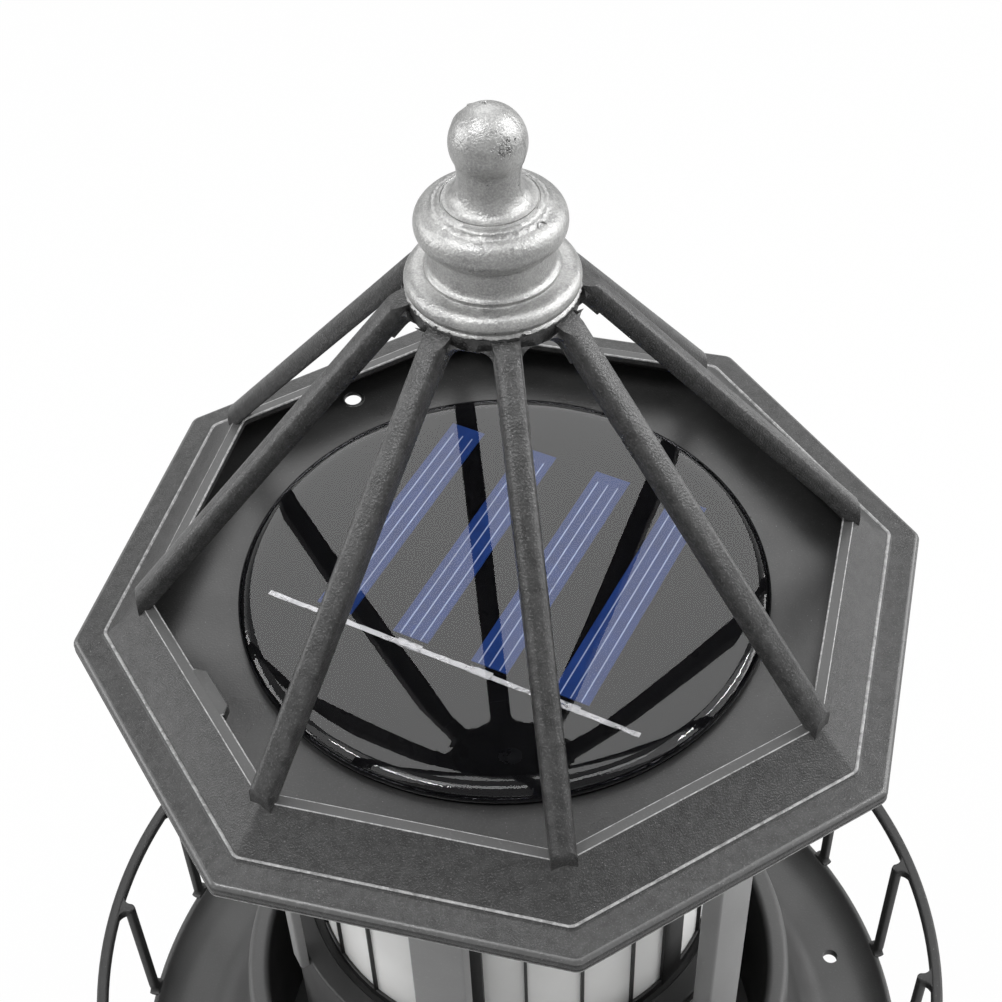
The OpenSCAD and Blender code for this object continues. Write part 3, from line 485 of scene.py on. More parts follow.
def clear_plastic():
    """Clear acrylic lens with faint flow lines."""
    made, tree, shader, place = look("acrylic_clear")
    feed(
        shader,
        Base_Color=tint("#f2f4f4"),
        Transmission_Weight=0.9,
        IOR=1.49,
        Roughness=add(tree, RANGE, add(tree, NOISE, place, every(6), 2), 0.3, 0.7, 0.03, 0.09),
        Normal=add(tree, BUMP, Height=add(tree, NOISE, place, every(5), 1), Distance=mm(0.03)),
    )
    return made


def sleeve():
    """Shrunk vinyl sleeve of the battery: satin green with fine wrinkles."""
    made, tree, shader, place = look("vinyl_sleeve_green")
    cloud = add(tree, NOISE, place, every(7), 3)
    feed(
        shader,
        Base_Color=add(tree, MIX, cloud, tint("#3f6e4c"), tint("#4f8560"), data_type="RGBA"),
        Roughness=add(tree, RANGE, cloud, 0.3, 0.7, 0.3, 0.42),
        Normal=add(tree, BUMP, Height=add(tree, NOISE, place, every(1.2), 2), Distance=mm(0.05)),
    )
    return made


def board():
    """Solder-masked circuit board: green lacquer with the copper tracks just showing through."""
    made, tree, shader, place = look("solder_mask_green")
    black, white = (0, 0, 0, 1), (1, 1, 1, 1)
    tracks = add(
        tree, "ShaderNodeTexBrick", place, black, black, white, Scale=every(2), Mortar_Size=0.06, out="Fac"
    )
    feed(
        shader,
        Base_Color=add(tree, MIX, tracks, tint("#1f5a36"), tint("#2f7a48"), data_type="RGBA"),
        Roughness=add(tree, RANGE, add(tree, NOISE, place, every(5), 2), 0.3, 0.7, 0.28, 0.4),
        Normal=add(tree, BUMP, Height=tracks, Distance=mm(0.03)),
    )
    return made


# Roof moulding, with the grain of the photo and pale painted glints on its tips
GRAINED = moulded("abs_charcoal_grained", "#1e1e1e", "#484848", 0.05, 0.3, 0.13, 0.34)
# The gallery deck and the rim's flat top are the same plastic painted a little paler: painted light on the
# deck in the roof's shade, and a painted sheen on the rim's flat top
PALER_PAINTED_LIGHT = moulded("abs_charcoal_painted_paler", "#424242", "#505050", 0.0, 0.5, 0.03, 0.44)
# Painted highlights: pale lines on the rounded edges and along the tool's split lines
PAINTED_EDGE_HIGHLIGHT = moulded("abs_charcoal_painted_edge_highlight", "#6a6a6a", "#a8a8a8", 0.1, 0.7, 0.05, 0.34)
# Painted highlight along the ridge of the flange
PAINTED_RIDGE_HIGHLIGHT = moulded("abs_charcoal_painted_ridge_highlight", "#4a4a4a", "#646464", 0.03, 0.5, 0.04, 0.28)
# Cage bars: coarser grain that breaks up their long highlights
CAGE = moulded("abs_charcoal_bars", "#262626", "#565656", 0.05, 0.36, 0.14, 0.3, 0.05)
# Tower, plinth and roof floor are smoother mouldings that show long soft highlights
SMOOTH = moulded("abs_charcoal_satin", "#282828", "#3a3a3a", 0.03, 0.36, 0.04, 0.31, 0.04)
# The thin rail is rougher, so that it stays dark in a white room
RAIL = moulded("abs_charcoal_rail", "#202020", "#303030", 0.02, 0.4, 0.02, 0.5, 0.03)
# Drum, glazing bars and the dark inner parts: matt, so that they stay in deep shade
DARK = moulded("abs_black_matt", "#161616", "#202020", 0.0, 0.6, 0.02, 0.45)
# Posts and locating rib are a lighter grey plastic
GREY = moulded("abs_grey_satin", "#848484", "#949494", 0.0, 0.7, 0.015, 0.42, 0.04)
# Soft feet with a dry, powdery surface
RUBBER = moulded("rubber_black_dry", "#141414", "#242424", 0.0, 0.35, 0.05, 0.82)
# Gears, turntable and beacon are self-coloured nylon
NYLON = moulded("nylon_white_matt", "#d6d4ce", "#e2e0da", 0.0, 0.6, 0.02, 0.5)
# Lamp phosphor under its dome
LAMP = moulded("lamp_epoxy_milky", "#e6e4d2", "#f2f0e0", 0.0, 0.8, 0.01, 0.2)
# Sprayed lacquer of the finial, which hides its black plastic all but a few spots
SILVER = silver_paint()
# The panel's layers: dull black board, mirror-glossy resin, and the blue cells between them
BOARD_BLACK = panel_black()
RESIN = clear_resin()
CELL = solar_silicon()
# Printed silver lines on the cells, slightly matt
PRINT = metal("printed_silver_lines", "#8494b4", "#a0aeca", 0.45, 0.4, 0.01)
# Tinned copper, dull in its hollows and bright on its kinks
RIBBON = metal("tinned_copper_crinkled", "#8e8e8c", "#c8c8c6", 0.26, 0.5, 0.2)
# Screws and contacts with the cool sheen of zinc plating
STEEL = metal("zinc_plated_steel", "#8f9296", "#b9bbbe", 0.3, 0.25, 0.02)
# Milky tube that carries the daylight behind the bars
FROST = frosted()

FINISHES = {
    "black_plastic": SMOOTH,
    "dark_plastic": DARK,
    "grey_plastic": GREY,
    "silver_paint": SILVER,
    "rubber": RUBBER,
    "steel": STEEL,
    "frosted_plastic": FROST,
    "clear_resin": RESIN,
    "panel_black": BOARD_BLACK,
    "solar_cell": CELL,
    "tinned_ribbon": RIBBON,
    "white_plastic": NYLON,
    "clear_plastic": clear_plastic(),
    "battery_sleeve": sleeve(),
    "board_green": board(),
    "lamp_white": LAMP,
}
# Every CAD node starts with the finish of its slot
for part in frame["record"]["subparts"]:
    shown = frame["nodes"][part["node"]]
    shown.data.materials.clear()
    shown.data.materials.append(FINISHES[part["material_slot"]])


def paint_light_band(piece, finish, low, high, least, most, near):
    """Paints light on a band: gives a second, paler finish to faces between two heights and outside a radius,
    by how far they face up.
    """
    piece.data.materials.append(finish)
    only(piece)
    bpy.ops.object.mode_set(mode="EDIT")
    pick(piece, lambda c, n: low < c.z < high and least < n.z < most and math.hypot(c.x, c.y) > near)
    piece.active_material_index = len(piece.data.materials) - 1
    bpy.ops.object.material_slot_assign()
    fresh()


def cutter(radius, azimuth, out, top, depth):
    """A round cutter with its top at a height, `out` millimetres from the axis."""
    fresh()
    place = at(azimuth, out, top - depth / 2)
    bpy.ops.mesh.primitive_cylinder_add(vertices=32, radius=mm(radius), depth=mm(depth), location=place)
    return bpy.context.object


# Roof moulding and floor


def roof_moulding():
    """Rim, slope with a fine bead at its foot, flange and lip, with the snap tab and the drains' collars."""
    lip, rim_edge, flange_edge, wall = 1.4, 0.32, 1.3, 2
    face = RIM_IN * FACE_SHARE
    section = [(FLOOR_R, FLOOR_FOOT), (FLOOR_R, Z_FLOOR - 0.02), (RIM_IN, Z_RIM - lip)]
    section += bow(RIM_IN + rim_edge, Z_RIM - rim_edge, rim_edge, rim_edge, 180, 90, 4)
    section += bow(RIM_R - rim_edge, Z_RIM - rim_edge, rim_edge, rim_edge, 90, 35, 4)
    # Fine bead left by the tool's split line at the slope's foot
    section += [(68.6, Z_RIM - 3.75), (SLOPE_R - 0.7, Z_EAVE + 3.6)]
    section += bow(SLOPE_R - 0.35, Z_EAVE + 3.5, 0.3, 0.28, 150, 0, 5)
    section += [(SLOPE_R + 0.3, Z_EAVE + 3.2), (EAVE_R - flange_edge - 0.9, Z_EAVE + 2.66)]
    section += bow(EAVE_R - flange_edge, Z_EAVE + 2.6 - flange_edge, flange_edge, flange_edge, 90, 5, 7)
    # Witness line low on the lip, over its thin lower edge
    section += [(EAVE_R - 0.05, Z_EAVE + 0.8), (EAVE_R - 0.3, Z_EAVE + 0.62), (EAVE_R - 0.3, Z_EAVE + 0.45)]
    section += [(EAVE_R, Z_EAVE + 0.32), (EAVE_R, Z_EAVE + 0.12), (EAVE_R - 0.2, Z_EAVE)]
    section += [(EAVE_R - wall, Z_EAVE), (EAVE_R - wall, Z_EAVE + 0.6), (SLOPE_R, Z_EAVE + 1.3)]
    shell = turned("roof_moulding", section, ROOF_SIDES, soften=0.7, crease=28)
    # Snap tab on the inside of the rim's left face, with chamfered ends
    tab = block("snap_tab", (0, 0.6 - face, Z_RIM - 1.1), (11.7, 2.4, 2.2))
    pick(tab, lambda c, n: abs(n.z) > 0.9 and c.y > 1.5 - face, "EDGE")
    bpy.ops.mesh.bevel(offset=mm(1.5), segments=1)
    bpy.ops.mesh.select_all(action="SELECT")
    bpy.ops.mesh.bevel(offset=mm(0.25), segments=2)
    settle(tab)
    copies(tab, [-1.5 * SIDE_ANGLE])
    # Low collars round the floor's two drains, one under the rim and one behind the panel
    low, crown = Z_FLOOR - 0.2, Z_FLOOR + 0.18
    ring = [(1.72, low), (1.72, Z_FLOOR), (1.95, crown), (2.2, crown), (2.45, Z_FLOOR + 0.02), (2.5, low)]
    collar = turned("drain_collar", ring, 32)
    collar.location = mm(0, -DRAIN_R, 0)
    return joined("roof_moulding", [shell, tab] + copies(collar, DRAINS))


moulding = roof_moulding()
fit(moulding, "roof", GRAINED, "black_plastic", "roof_shell")
# Painted light on the moulding, by how far faces face up: painted highlights on the rim edges, the flange
# ridge, the bead at the slope's foot and the lip's lower edge, and a paler painted sheen on the rim top.
# Each band's finish, its lowest and highest point, how far it faces up, and the radius it lies beyond
for band in (
    (PAINTED_EDGE_HIGHLIGHT, Z_RIM - 0.34, Z_HUB, 0.1, 0.98, RIM_IN * FACE_SHARE - 0.2),
    (PALER_PAINTED_LIGHT, Z_RIM - 0.1, Z_HUB, 0.99, 1.1, 0),
    (PAINTED_RIDGE_HIGHLIGHT, Z_EAVE + 1.6, Z_EAVE + 2.62, 0.4, 0.96, 70),
    (PAINTED_EDGE_HIGHLIGHT, Z_EAVE + 3.58, Z_EAVE + 4.1, 0.55, 1.1, 66),
    (PAINTED_EDGE_HIGHLIGHT, Z_EAVE + 0.02, Z_EAVE + 0.4, -0.8, 0.8, 72),
):
    paint_light_band(moulding, *band)


def roof_floor():
    """Floor plate with the cable's hole, thinned from below round its drains so that light comes through."""
    hole = 3
    section = [(hole, FLOOR_FOOT), (FLOOR_R, FLOOR_FOOT), (FLOOR_R, Z_FLOOR), (hole, Z_FLOOR)]
    plate = turned("roof_floor_plate", section, ROOF_SIDES)
    cuts = []
    for azimuth in DRAINS:
        cuts.append(cutter(1.7, azimuth, DRAIN_R, Z_FLOOR + 1, 4))
        cuts.append(cutter(4.2, azimuth, DRAIN_R, Z_FLOOR - 0.5, 4))
    return carved(plate, cuts)


fit(roof_floor(), "roof", SMOOTH, "black_plastic", "roof_floor")


# Cage: eight bevelled ribs from the rim's corners to the hub


def cage():
    """Ribs with their feet sunk into the slope's corners, each spread into the round hub by a web."""
    width, depth, proud, hub_hole = 4.3, 3.6, 2.0, 2.6
    run, rise = RIM_R - HUB_R, Z_HUB - 0.7 - Z_RIM
    lean, length = math.atan2(rise, run), math.hypot(rise, run)
    outer = Vector((0, -math.sin(lean), math.cos(lean)))
    along_rib = Vector((0, math.cos(lean), math.sin(lean)))
    foot = Vector((0, -RIM_R, Z_RIM)) + outer * proud
    middle = foot + along_rib * length / 2 - outer * depth / 2
    rib = block("cage_rib", middle, (width, length + 10, depth), (lean, 0, 0))
    pick(rib, lambda c, d: abs(d.dot(along_rib)) > 0.9 and (c - middle).dot(outer) > 0.5, "EDGE")
    bpy.ops.mesh.bevel(offset=mm(1.6), segments=5, profile=0.5)
    pick(rib, lambda c, d: abs(d.dot(along_rib)) > 0.9 and (c - middle).dot(outer) < -0.5, "EDGE")
    bpy.ops.mesh.bevel(offset=mm(0.3), segments=2)
    # Foot sunk into the slope's corner; head cut level with the hub, then sloped off beside the finial
    cuts = [
        ((0, 0, Z_RIM - 1.6), (0, 0, -1)),
        ((0, -RIM_R - 0.2, Z_RIM), (0, -1, 0)),
        ((0, 0, Z_HUB - 0.3), (0, 0, 1)),
        ((0, -HUB_R, Z_HUB - 0.5), (0, -0.34, 0.94)),
    ]
    for place, away in cuts:
        bpy.ops.mesh.select_all(action="SELECT")
        bpy.ops.mesh.bisect(plane_co=mm(*place), plane_no=away, use_fill=True, clear_outer=True)
    settle(rib, crease=40)
    # Web in the rib's own plane, spread into the hub by a fillet on each side
    web_width, thick = width - 0.3, depth - proud + 0.6
    centre = foot + along_rib * (run - 3.2) / math.cos(lean) - outer * (proud + thick / 2)
    web = block("rib_web", centre, (web_width, 3, thick - 0.3), (lean, 0, 0))
    pick(web, lambda c, n: n.dot(along_rib) > 0.9)
    flared(web_width / 2, 2.6, along_rib)
    bpy.ops.mesh.select_all(action="SELECT")
    bpy.ops.mesh.bisect(plane_co=mm(0, 0, Z_HUB - 0.7), plane_no=(0, 0, 1), use_fill=True, clear_outer=True)
    settle(web, crease=40)
    both = joined("cage_rib", [rib, web])
    ribs = copies(both, [SIDE_ANGLE * i for i in range(ROOF_SIDES)])
    section = [(hub_hole, Z_HUB - 3), (HUB_R - 0.6, Z_HUB - 3)]
    section += bow(HUB_R - 0.6, Z_HUB - 2.4, 0.6, 0.6, -90, 0, 4)
    section += bow(HUB_R - 0.5, Z_HUB - 0.5, 0.5, 0.5, 0, 90, 4)
    hub = turned("cage_hub", section + [(hub_hole, Z_HUB)])
    return joined("cage_moulding", ribs + [hub])


fit(cage(), "roof", CAGE, "black_plastic", "roof_cage")


# Finial, with the seam, the sprue stub and the burst bubble of a cheap casting


def finial():
    """Turned from the drip lip at the hub up to the ball, then roughened where the lacquer pooled."""
    # Drip lip, bulging flange and its step, as heights above the hub
    rings = [(2, 0), (12.9, 0), (13.5, 0.05), (13.8, 0.25), (13.7, 0.55), (13.3, 0.8)]
    rings += bow(11.9, 1.9, 1.95, 1.75, -28, 90, 9)
    rings += [(10.95, 3.7), (10.6, 3.85), (10.5, 4.15), (10.6, 4.45), (10.35, 4.75)]
    # Waist and bead
    rings += bow(10.35, 6.7, 0.7, 1.9, 262, 185, 6)
    rings += [(9.62, 8.4), (9.7, 9.2), (9.95, 9.5)]
    rings += bow(8.9, 12.3, 2.9, 3.0, -62, 78, 14)
    # Pebbled edge of the lacquer, ridge and groove under the flared neck
    rings += [(9.15, 15.4), (8.85, 15.8), (8.5, 15.76), (8.2, 15.9)]
    rings += [(7.95, 16.35), (7.6, 16.45), (7.45, 16.3), (7.3, 16.36)]
    rings += bow(7.35, 20.3, 2.5, 3.75, 268, 183, 9)
    rings += [(4.87, 21.2), (4.95, 22.2)]
    section = [(r, Z_HUB + z) for r, z in rings]
    section += bow(0, BALL_Z, BALL_R, BALL_R, -29, 84, 26)
    section += [(0, BALL_Z + BALL_R - 0.03)]
    piece = turned("finial_casting", section, FINE, crease=45)
    ruffle(piece, lambda c, n: c.z < Z_HUB + 0.6 and math.hypot(c.x, c.y) > 12, 0.16, seed=3)
    ruffle(piece, lambda c, n: abs(c.z - Z_HUB - 15.7) < 0.15 and math.hypot(c.x, c.y) < 9.2, 0.2, seed=5)
    # Seam left by the halves of the tool: one column of points on each side stands proud
    out = at(SEAM, 1000, 0)
    across = at(SEAM + 90, 1000, 0)
    only(piece)
    bpy.ops.object.mode_set(mode="EDIT")
    for side in (-1, 1):
        pick(piece, lambda c, n, side=side: abs(c.dot(across)) < 0.1 and c.dot(out) * side > 2, "VERT")
        bpy.ops.transform.translate(value=out * side * mm(0.13))
    only(piece)
    # Clipped sprue on the crown, and a burst bubble near the bead's top
    turn = (0, math.radians(-22.7), math.radians(-30))
    sprue = block("sprue_stub", (-1.15, 1.95, BALL_Z + 5.22), (3.3, 0.55, 0.5), turn)
    bpy.ops.mesh.bevel(offset=mm(0.12), segments=2)
    settle(sprue)
    bubble = turned("burst_bubble", bow(0.8, 0, 0.16, 0.16, 0, 315, 7), 24)
    bubble.rotation_euler = (math.radians(38), 0, math.radians(BUBBLE))
    bubble.location = at(BUBBLE, 9.7, Z_HUB + 15.12)
    settle(bubble)
    return joined("finial_casting", [piece, sprue, bubble])


fit(finial(), "roof", SILVER, "silver_paint", "finial")


# Solar panel


def along(u, v, height):
    """Point in mm on the panel: u across the strips, v along them."""
    a = math.radians(-CELL_ANGLE)
    return (u * math.cos(a) - v * math.sin(a), u * math.sin(a) + v * math.cos(a), height)


def flat(name, u, v, height, size):
    """Flat block on the panel, turned with the cells."""
    return block(name, along(u, v, height), size, (0, 0, math.radians(-CELL_ANGLE)))


def resin_dome():
    """Poured cover, nearly flat, with a crease near its rolled edge."""
    low, foot_r = Z_FLOOR + 1.02, PANEL_R - 1.2
    section = [(2, low - 0.2), (foot_r, low - 0.2), (foot_r, low)]
    section += bow(PANEL_R - 2.9, Z_PANEL - 2.4, 2.9, 1.9, -14, 43, 7)
    section += bow(PANEL_R - 3.2, Z_PANEL - 2.2, 2.9, 1.9, 47, 76, 4)
    section += [(PANEL_R - 4.5, Z_PANEL - 0.22), (PANEL_R * 0.7, Z_PANEL - 0.12)]
    section += [(PANEL_R * 0.4, Z_PANEL - 0.03), (0, Z_PANEL)]
    return turned("resin_dome", section, crease=50)


fit(resin_dome(), "roof", RESIN, "clear_resin", "panel_cover")


def panel_board():
    """Round board under the resin, with softened edges."""
    edge, top = PANEL_R - 0.25, Z_FLOOR + 1
    section = [(2, Z_FLOOR), (edge - 0.3, Z_FLOOR), (edge, Z_FLOOR + 0.3), (edge, Z_FLOOR + 0.85)]
    return turned("panel_board", section + [(edge - 0.15, top), (0, top)])


fit(panel_board(), "roof", BOARD_BLACK, "panel_black", "panel_tray")


def cell_strips():
    """Four strips of silicon, each with three printed lines along it."""
    width, length, pitch, v, line_pitch, line_width = 7.1, 52, 15.7, 6.2, 2.05, 0.24
    cells, lines = [], []
    for i in range(4):
        u = (i - 1.5) * pitch - 0.7
        strip = flat("silicon_strip", u, v, Z_FLOOR + 1.15, (width, length, 0.3))
        bpy.ops.mesh.bevel(offset=mm(0.06), segments=1)
        cells.append(settle(strip))
        for side in (-1, 0, 1):
            size = (line_width, length - 2.6, 0.05)
            line = flat("printed_line", u + side * line_pitch, v - 1.2, Z_FLOOR + 1.315, size)
            lines.append(settle(line))
    return joined("silicon_strips", cells), joined("printed_lines", lines)


strips, prints = cell_strips()
fit(strips, "roof", CELL, "solar_cell", "solar_cells")
fit(prints, "roof", PRINT, "solar_cell")


def crinkled_ribbon():
    """Tinned ribbon, almost straight, with small kinks and a flat ragged solder joint on each strip."""
    length, width, v, kinks = 73.4, 1.0, -21.7, 44
    ribbon = flat("tinned_ribbon", 0, v, Z_FLOOR + 1.4, (length, width, 0.2))
    pick(ribbon, lambda c, d: abs(d.dot(Vector(along(1, 0, 0)).normalized())) > 0.9, "EDGE")
    bpy.ops.mesh.subdivide(number_cuts=kinks)
    settle(ribbon, crease=20)
    ruffle(ribbon, lambda c, n: c.z > Z_FLOOR + 1.35, 0.17, seed=7)
    parts = [ribbon]
    for k, u in enumerate([-24.25, -8.55, 7.15, 22.85]):
        # Solder runs a little further on some strips than on others
        size = (4.6 + math.sin(k * 3.0), 1.5, 0.3)
        joint = flat("solder_joint", u + 0.9 * math.sin(k * 2.1), v + 0.15, Z_FLOOR + 1.5, size)
        bpy.ops.mesh.subdivide(number_cuts=5)
        settle(joint, crease=20)
        ruffle(joint, lambda c, n: True, 0.16, seed=11 + k)
        parts.append(joint)
    return joined("tinned_ribbon", parts)


fit(crinkled_ribbon(), "roof", RIBBON, "tinned_ribbon", "bus_ribbon")


# Lantern


def posts():
    """Five posts with rounded edges, each on a lug that reaches in to the drum."""
    width, depth = 9.8, 4.4
    size = (width, depth, Z_RING - Z_POST)
    post = block("lantern_post", (0, depth / 2 - POST_R, (Z_POST + Z_RING) / 2), size)
    pick(post, lambda c, d: abs(d.z) > 0.9, "EDGE")
    bpy.ops.mesh.bevel(offset=mm(0.55), segments=3)
    pick(post, lambda c, d: c.z < Z_POST + 0.1, "EDGE")
    bpy.ops.mesh.bevel(offset=mm(0.3), segments=2)
    settle(post)
    lug = block("post_lug", (0, -(DRUM_R + 1.7), Z_POST + 2), (width, 4.2, 4))
    bpy.ops.mesh.bevel(offset=mm(0.3), segments=2)
    settle(lug)
    both = joined("lantern_posts", [post, lug])
    return joined("lantern_posts", copies(both, [POST_AZIMUTH + 60 * i for i in range(5)]))


fit(posts(), "tower", GREY, "grey_plastic", "lantern_frame")


def glazing_bars():
    """Wide bars at every fourth place and thin ones between, tied by a ring at each end."""
    wall, depth, ring_h, wide, thin, count = 0.6, 0.8, 2.4, 6.0, 0.6, 24
    parts = []
    for i in range(count):
        size = (thin if i % 4 else wide, depth, Z_RING - Z_GLASS - 0.4)
        bar = block("glazing_bar", (0, depth / 2 - GLASS_R, (Z_GLASS + Z_RING) / 2), size)
        pick(bar, lambda c, d: abs(d.z) > 0.9 and c.y < -GLASS_R + 0.2, "EDGE")
        bpy.ops.mesh.bevel(offset=mm(0.14), segments=2)
        settle(bar)
        parts += copies(bar, [POST_AZIMUTH + 1.3 + 360 / count * i])
    for low in (Z_GLASS, Z_RING - ring_h):
        top = low + ring_h
        section = [(GLASS_R - wall, low), (GLASS_R - 0.15, low), (GLASS_R, low + 0.15)]
        section += [(GLASS_R, top - 0.15), (GLASS_R - 0.15, top), (GLASS_R - wall, top)]
        parts.append(turned("glazing_ring", section))
    return joined("glazing_bars", parts)


fit(glazing_bars(), "tower", DARK, "dark_plastic", "glazing_frame")


def diffuser():
    """Milky tube behind the bars, its ends softened."""
    inner, outer, soft = 41.2, 42.7, 0.2
    section = [(inner, Z_GLASS), (outer - soft, Z_GLASS), (outer, Z_GLASS + soft)]
    section += [(outer, Z_RING - soft), (outer - soft, Z_RING), (inner, Z_RING)]
    return turned("frosted_tube", section)


fit(diffuser(), "tower", FROST, "frosted_plastic", "glazing_diffuser")


def drum():
    """Drum with a flat ledge and the groove that takes the glazing."""
    wall, mouth, groove = 2.4, 39.2, 45.2
    section = [(DRUM_R - wall, Z_DECK), (DRUM_R, Z_DECK)]
    section += bow(DRUM_R - 0.6, Z_DRUM - 0.6, 0.6, 0.6, 0, 90, 5)
    section += [(groove + 0.2, Z_DRUM), (groove, Z_DRUM - 0.2), (groove, Z_GLASS)]
    section += [(mouth, Z_GLASS), (mouth, Z_GLASS - wall), (DRUM_R - wall, Z_GLASS - wall)]
    return turned("lantern_drum_shell", section)


fit(drum(), "tower", DARK, "dark_plastic", "lantern_drum")


def locating_rib():
    """Narrow upright on the drum, near the place of a sixth post."""
    low, width, depth, azimuth = Z_DRUM - 2.2, 4.3, 1.9, -70.3
    rib = block("locating_rib", (0, -(DRUM_R + depth / 2), (low + Z_RING) / 2), (width, depth, Z_RING - low))
    pick(rib, lambda c, d: c.y < -DRUM_R - 1.5, "EDGE")
    bpy.ops.mesh.bevel(offset=mm(0.5), segments=3)
    settle(rib)
    copies(rib, [azimuth])
    return rib


fit(locating_rib(), "tower", GREY, "grey_plastic", "keying_rib")


# Gallery: collar, flare, deck and upturned edge in one sweep


def deck():
    """Shell of the gallery, with its three drain holes."""
    mouth, drain_r, first_drain = 18, DECK_R - 10.4, 95.4
    flare_r, flare_z = COLLAR_R + 16.3, Z_LIP - 8
    section = [(mouth, Z_UNDER), (mouth, Z_DECK), (COLLAR_IN, Z_DECK), (COLLAR_IN, Z_LIP - 1.6)]
    section += bow(COLLAR_IN + 1.5, Z_LIP - 1.5, 1.5, 1.5, 172, 90, 6)
    section += bow(COLLAR_R - 1.6, Z_LIP - 1.6, 1.6, 1.6, 90, 0, 7)
    section += bow(flare_r, flare_z, 15.8, flare_z - Z_DECK, 180, 270, 20)
    section += bow(DECK_R - 9, Z_EDGE + 2.2, 8.2, 7.2, 272, 337, 9)
    section += [(DECK_R - 1.2, Z_EDGE - 0.2), (DECK_R - 0.9, Z_EDGE), (DECK_R - 0.3, Z_EDGE)]
    section += [(DECK_R, Z_EDGE - 0.3), (DECK_R, Z_EDGE - 3), (DECK_R - 2.4, Z_UNDER + 1.2)]
    section += [(DECK_R - 5, Z_UNDER), (79, Z_UNDER)]
    section += bow(flare_r, flare_z, 18.0, flare_z - Z_UNDER, 268, 180, 14)
    section += [(COLLAR_IN + 2.4, flare_z), (COLLAR_IN + 2.4, Z_UNDER)]
    piece = turned("gallery_deck_moulding", section, FINE, crease=50)
    turns = [first_drain + 120 * i for i in range(3)]
    return carved(piece, [cutter(1.9, turn, drain_r, Z_UNDER + 5, 8) for turn in turns])


# The deck wears the paler plastic as painted light against the shade under the roof
fit(deck(), "tower", PALER_PAINTED_LIGHT, "black_plastic", "gallery_deck")


def rail():
    """Rounded ring on 20 posts, each with a knee at its head and a fillet at each end."""
    high, low = Z_RAIL, Z_RAIL - RAIL_BAR
    inner = RAIL_R - RAIL_BAR
    section = [(inner, low + 0.5), (inner + 0.15, low + 0.15), (inner + 0.5, low), (RAIL_R - 0.5, low)]
    section += [(RAIL_R - 0.15, low + 0.15), (RAIL_R, low + 0.5), (RAIL_R, high - 0.7)]
    section += bow(RAIL_R - 0.7, high - 0.7, 0.7, 0.7, 20, 90, 4)
    section += bow(inner + 0.7, high - 0.7, 0.7, 0.7, 90, 180, 4)
    ring = turned("rail_ring", section, FINE)
    # Post: an upright bar, flared into the deck's edge at its foot
    post_r, width, depth, first, count = DECK_R + 0.6, 2.3, 2.3, 3.2, 20
    top, foot = high - 1.2, Z_EDGE + 1.4
    post = block("rail_post", (0, -post_r, (top + foot) / 2), (width, depth, top - foot))
    pick(post, lambda c, n: n.z < -0.9)
    flared(width / 2, 1.2, (0, 0.35, -1))
    bpy.ops.mesh.extrude_region_move(TRANSFORM_OT_translate={"value": mm(0, 1.1, -2.6)})
    bpy.ops.transform.resize(value=(0.55, 1, 1), center_override=AXIS)
    pick(post, lambda c, d: abs(d.z) > 0.5 and abs(d.x) < 0.95, "EDGE")
    bpy.ops.mesh.bevel(offset=mm(0.75), segments=3)
    settle(post, crease=40)
    # Arm from the post's head out to the ring, flared into it
    arm_top, arm_low = high - 0.25, low + 0.1
    arm = block("rail_arm", (0, 0.55 - post_r, (arm_top + arm_low) / 2), (width, 1.2, arm_top - arm_low))
    pick(arm, lambda c, n: n.y < -0.9)
    flared(width / 2, 3.0, (0, -0.75, 0))
    pick(arm, lambda c, d: abs(d.z) > 0.9 and c.y > -post_r, "EDGE")
    bpy.ops.mesh.bevel(offset=mm(1.0), segments=4)
    pick(arm, lambda c, d: c.z > arm_top - 0.1 and abs(d.x) < 0.9 and abs(c.x) > 0.2, "EDGE")
    bpy.ops.mesh.bevel(offset=mm(0.45), segments=3)
    settle(arm, crease=40)
    both = joined("rail_post", [post, arm])
    return joined("rail_moulding", [ring] + copies(both, [first + 360 / count * i for i in range(count)]))


fit(rail(), "tower", RAIL, "black_plastic", "gallery_rail", "rail_posts")


# Camera, light and stage


def towards(azimuth, height):
    """Unit vector towards an azimuth and a height over the horizon, both in radians."""
    flat_part = math.cos(height)
    return Vector((math.sin(azimuth) * flat_part, -math.cos(azimuth) * flat_part, math.sin(height)))


def camera():
    """The photo's own view, solved from the corners of the eave."""
    azimuth, height, roll = (math.radians(v) for v in (-6.78, 45.65, -2.12))
    target, distance = mm(0, 0.24, 319.5), mm(EAVE_R * 3.966)
    bpy.ops.object.camera_add()
    view = bpy.context.object
    view.data.lens = 64.18
    view.data.sensor_width = 36
    right = Vector((math.cos(azimuth), math.sin(azimuth), 0))
    back = towards(azimuth, height)
    up = back.cross(right)
    level = math.cos(roll) * right + math.sin(roll) * up
    upright = math.cos(roll) * up - math.sin(roll) * right
    turn = Matrix((level, upright, back)).transposed().to_4x4()
    view.matrix_world = Matrix.Translation(target + back * distance) @ turn
    bpy.context.scene.camera = view


def softbox(name, azimuth, height, distance, size, power):
    """Rectangular light aimed at the roof from a distance, both sizes in metres."""
    target = mm(0, 0, 300)
    back = towards(math.radians(azimuth), math.radians(height))
    bpy.ops.object.light_add(type="AREA", location=target + back * distance)
    lamp = bpy.context.object
    lamp.name = name
    lamp.data.shape = "RECTANGLE"
    lamp.data.size, lamp.data.size_y = size
    # An area light's radiance is its power over pi times its area
    lamp.data.energy = power * math.pi * size[0] * size[1]
    lamp.rotation_euler = back.to_track_quat("Z", "Y").to_euler()


def in_view(tree):
    """1 for what the camera sees, straight or through glass, and 0 for bounced light."""
    straight = add(tree, RAYS, out="Is Camera Ray")
    through = add(tree, RAYS, out="Is Transmission Ray")
    return add(tree, MATH, straight, through, operation="MAXIMUM")


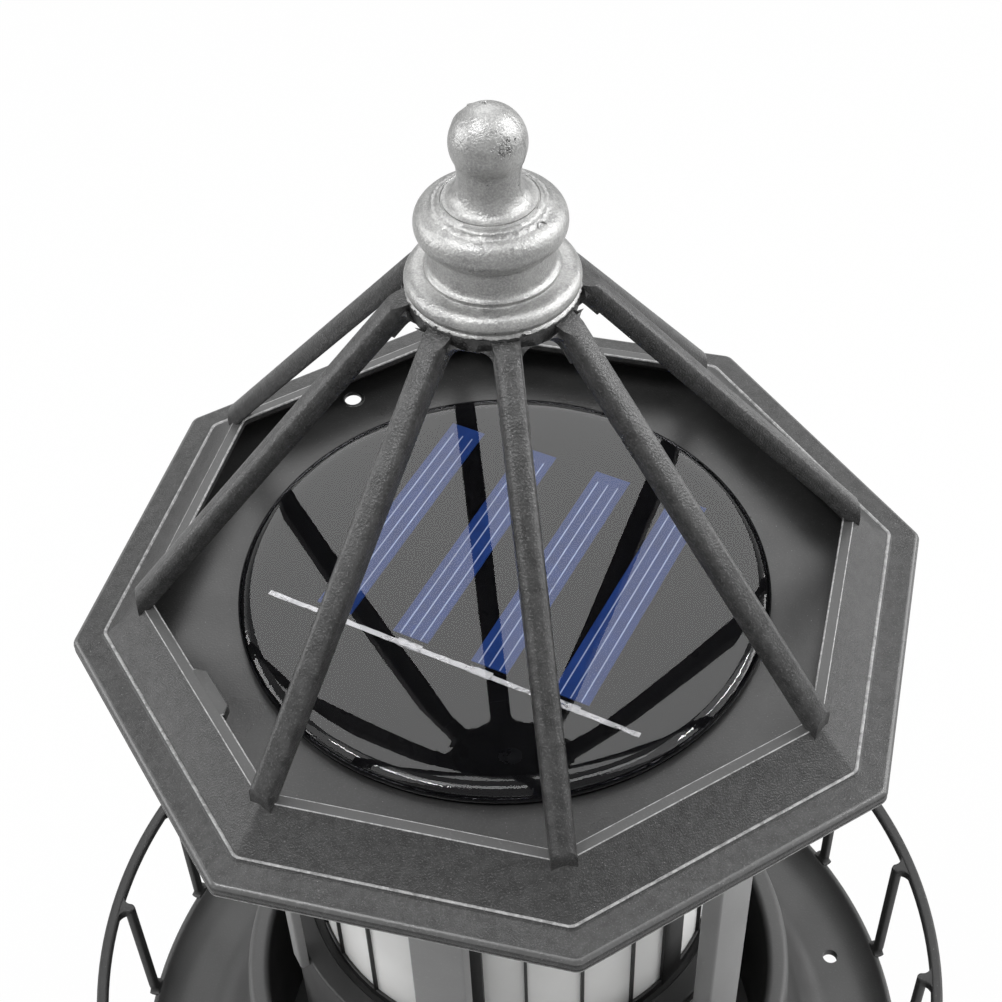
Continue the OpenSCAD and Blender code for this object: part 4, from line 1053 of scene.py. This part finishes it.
def stage():
    """White studio: paper that shines white to the camera only, and a backdrop under a dim ceiling."""
    ceiling, ambient = 0.3, 0.28
    world = bpy.data.worlds.new("studio")
    bpy.context.scene.world = world
    world.use_nodes = True
    tree = world.node_tree
    # White to the camera and behind glass; reflections see the white backdrop up to a dim ceiling
    ahead = add(tree, "ShaderNodeTexCoord", out="Generated")
    height = add(tree, "ShaderNodeSeparateXYZ", ahead, out="Z")
    backdrop = add(tree, RANGE, height, 0.35, 0.6, 1.0, ceiling)
    mirrored = add(tree, MATH, add(tree, RAYS, out="Is Glossy Ray"), backdrop, operation="MULTIPLY")
    seen = add(tree, MATH, in_view(tree), mirrored, operation="MAXIMUM")
    sky = tree.nodes["Background"]
    feed(sky, Color=(1, 1, 1, 1), Strength=add(tree, MATH, seen, ambient, operation="MAXIMUM"))
    bpy.ops.mesh.primitive_plane_add(size=60, location=(0, 0, 0))
    floor = bpy.context.object
    floor.name = "studio_floor"
    paper = bpy.data.materials.new("white_paper")
    paper.use_nodes = True
    tree = paper.node_tree
    soft = add(tree, "ShaderNodeBsdfDiffuse", Color=(0.6, 0.6, 0.6, 1))
    glow = add(tree, "ShaderNodeEmission", Color=(1, 1, 1, 1), Strength=1.0)
    share = add(tree, RANGE, in_view(tree), 0, 1, 0.0, 0.97)
    feed(tree.nodes["Material Output"], Surface=add(tree, "ShaderNodeMixShader", share, soft, glow))
    floor.data.materials.append(paper)


camera()
# Name, azimuth, height, distance, size and radiance
softbox("softbox_back_top", 173, 50, 1.6, (1.35, 1.2), 2.3)
softbox("softbox_overhead", -7, 80, 1.5, (1.6, 0.35), 3.4)
softbox("softbox_left", -76, 56, 1.5, (1.1, 1.1), 1.0)
softbox("softbox_right", 80, 44, 1.5, (1.4, 1.1), 1.2)
# Low panels at both sides put a sheen on the roof's side slopes
softbox("panel_low_left", -105, 18, 1.6, (1.1, 0.8), 3.2)
softbox("panel_low_right", 104, 14, 1.6, (1.1, 0.8), 3.2)
# Tubes inside the side boxes make the narrow bright streaks
softbox("tube_left", -72, 62, 1.45, (0.9, 0.08), 30)
softbox("tube_right", 88, 44, 1.45, (0.9, 0.08), 30)
stage()
bpy.context.scene.view_settings.view_transform = "Standard"
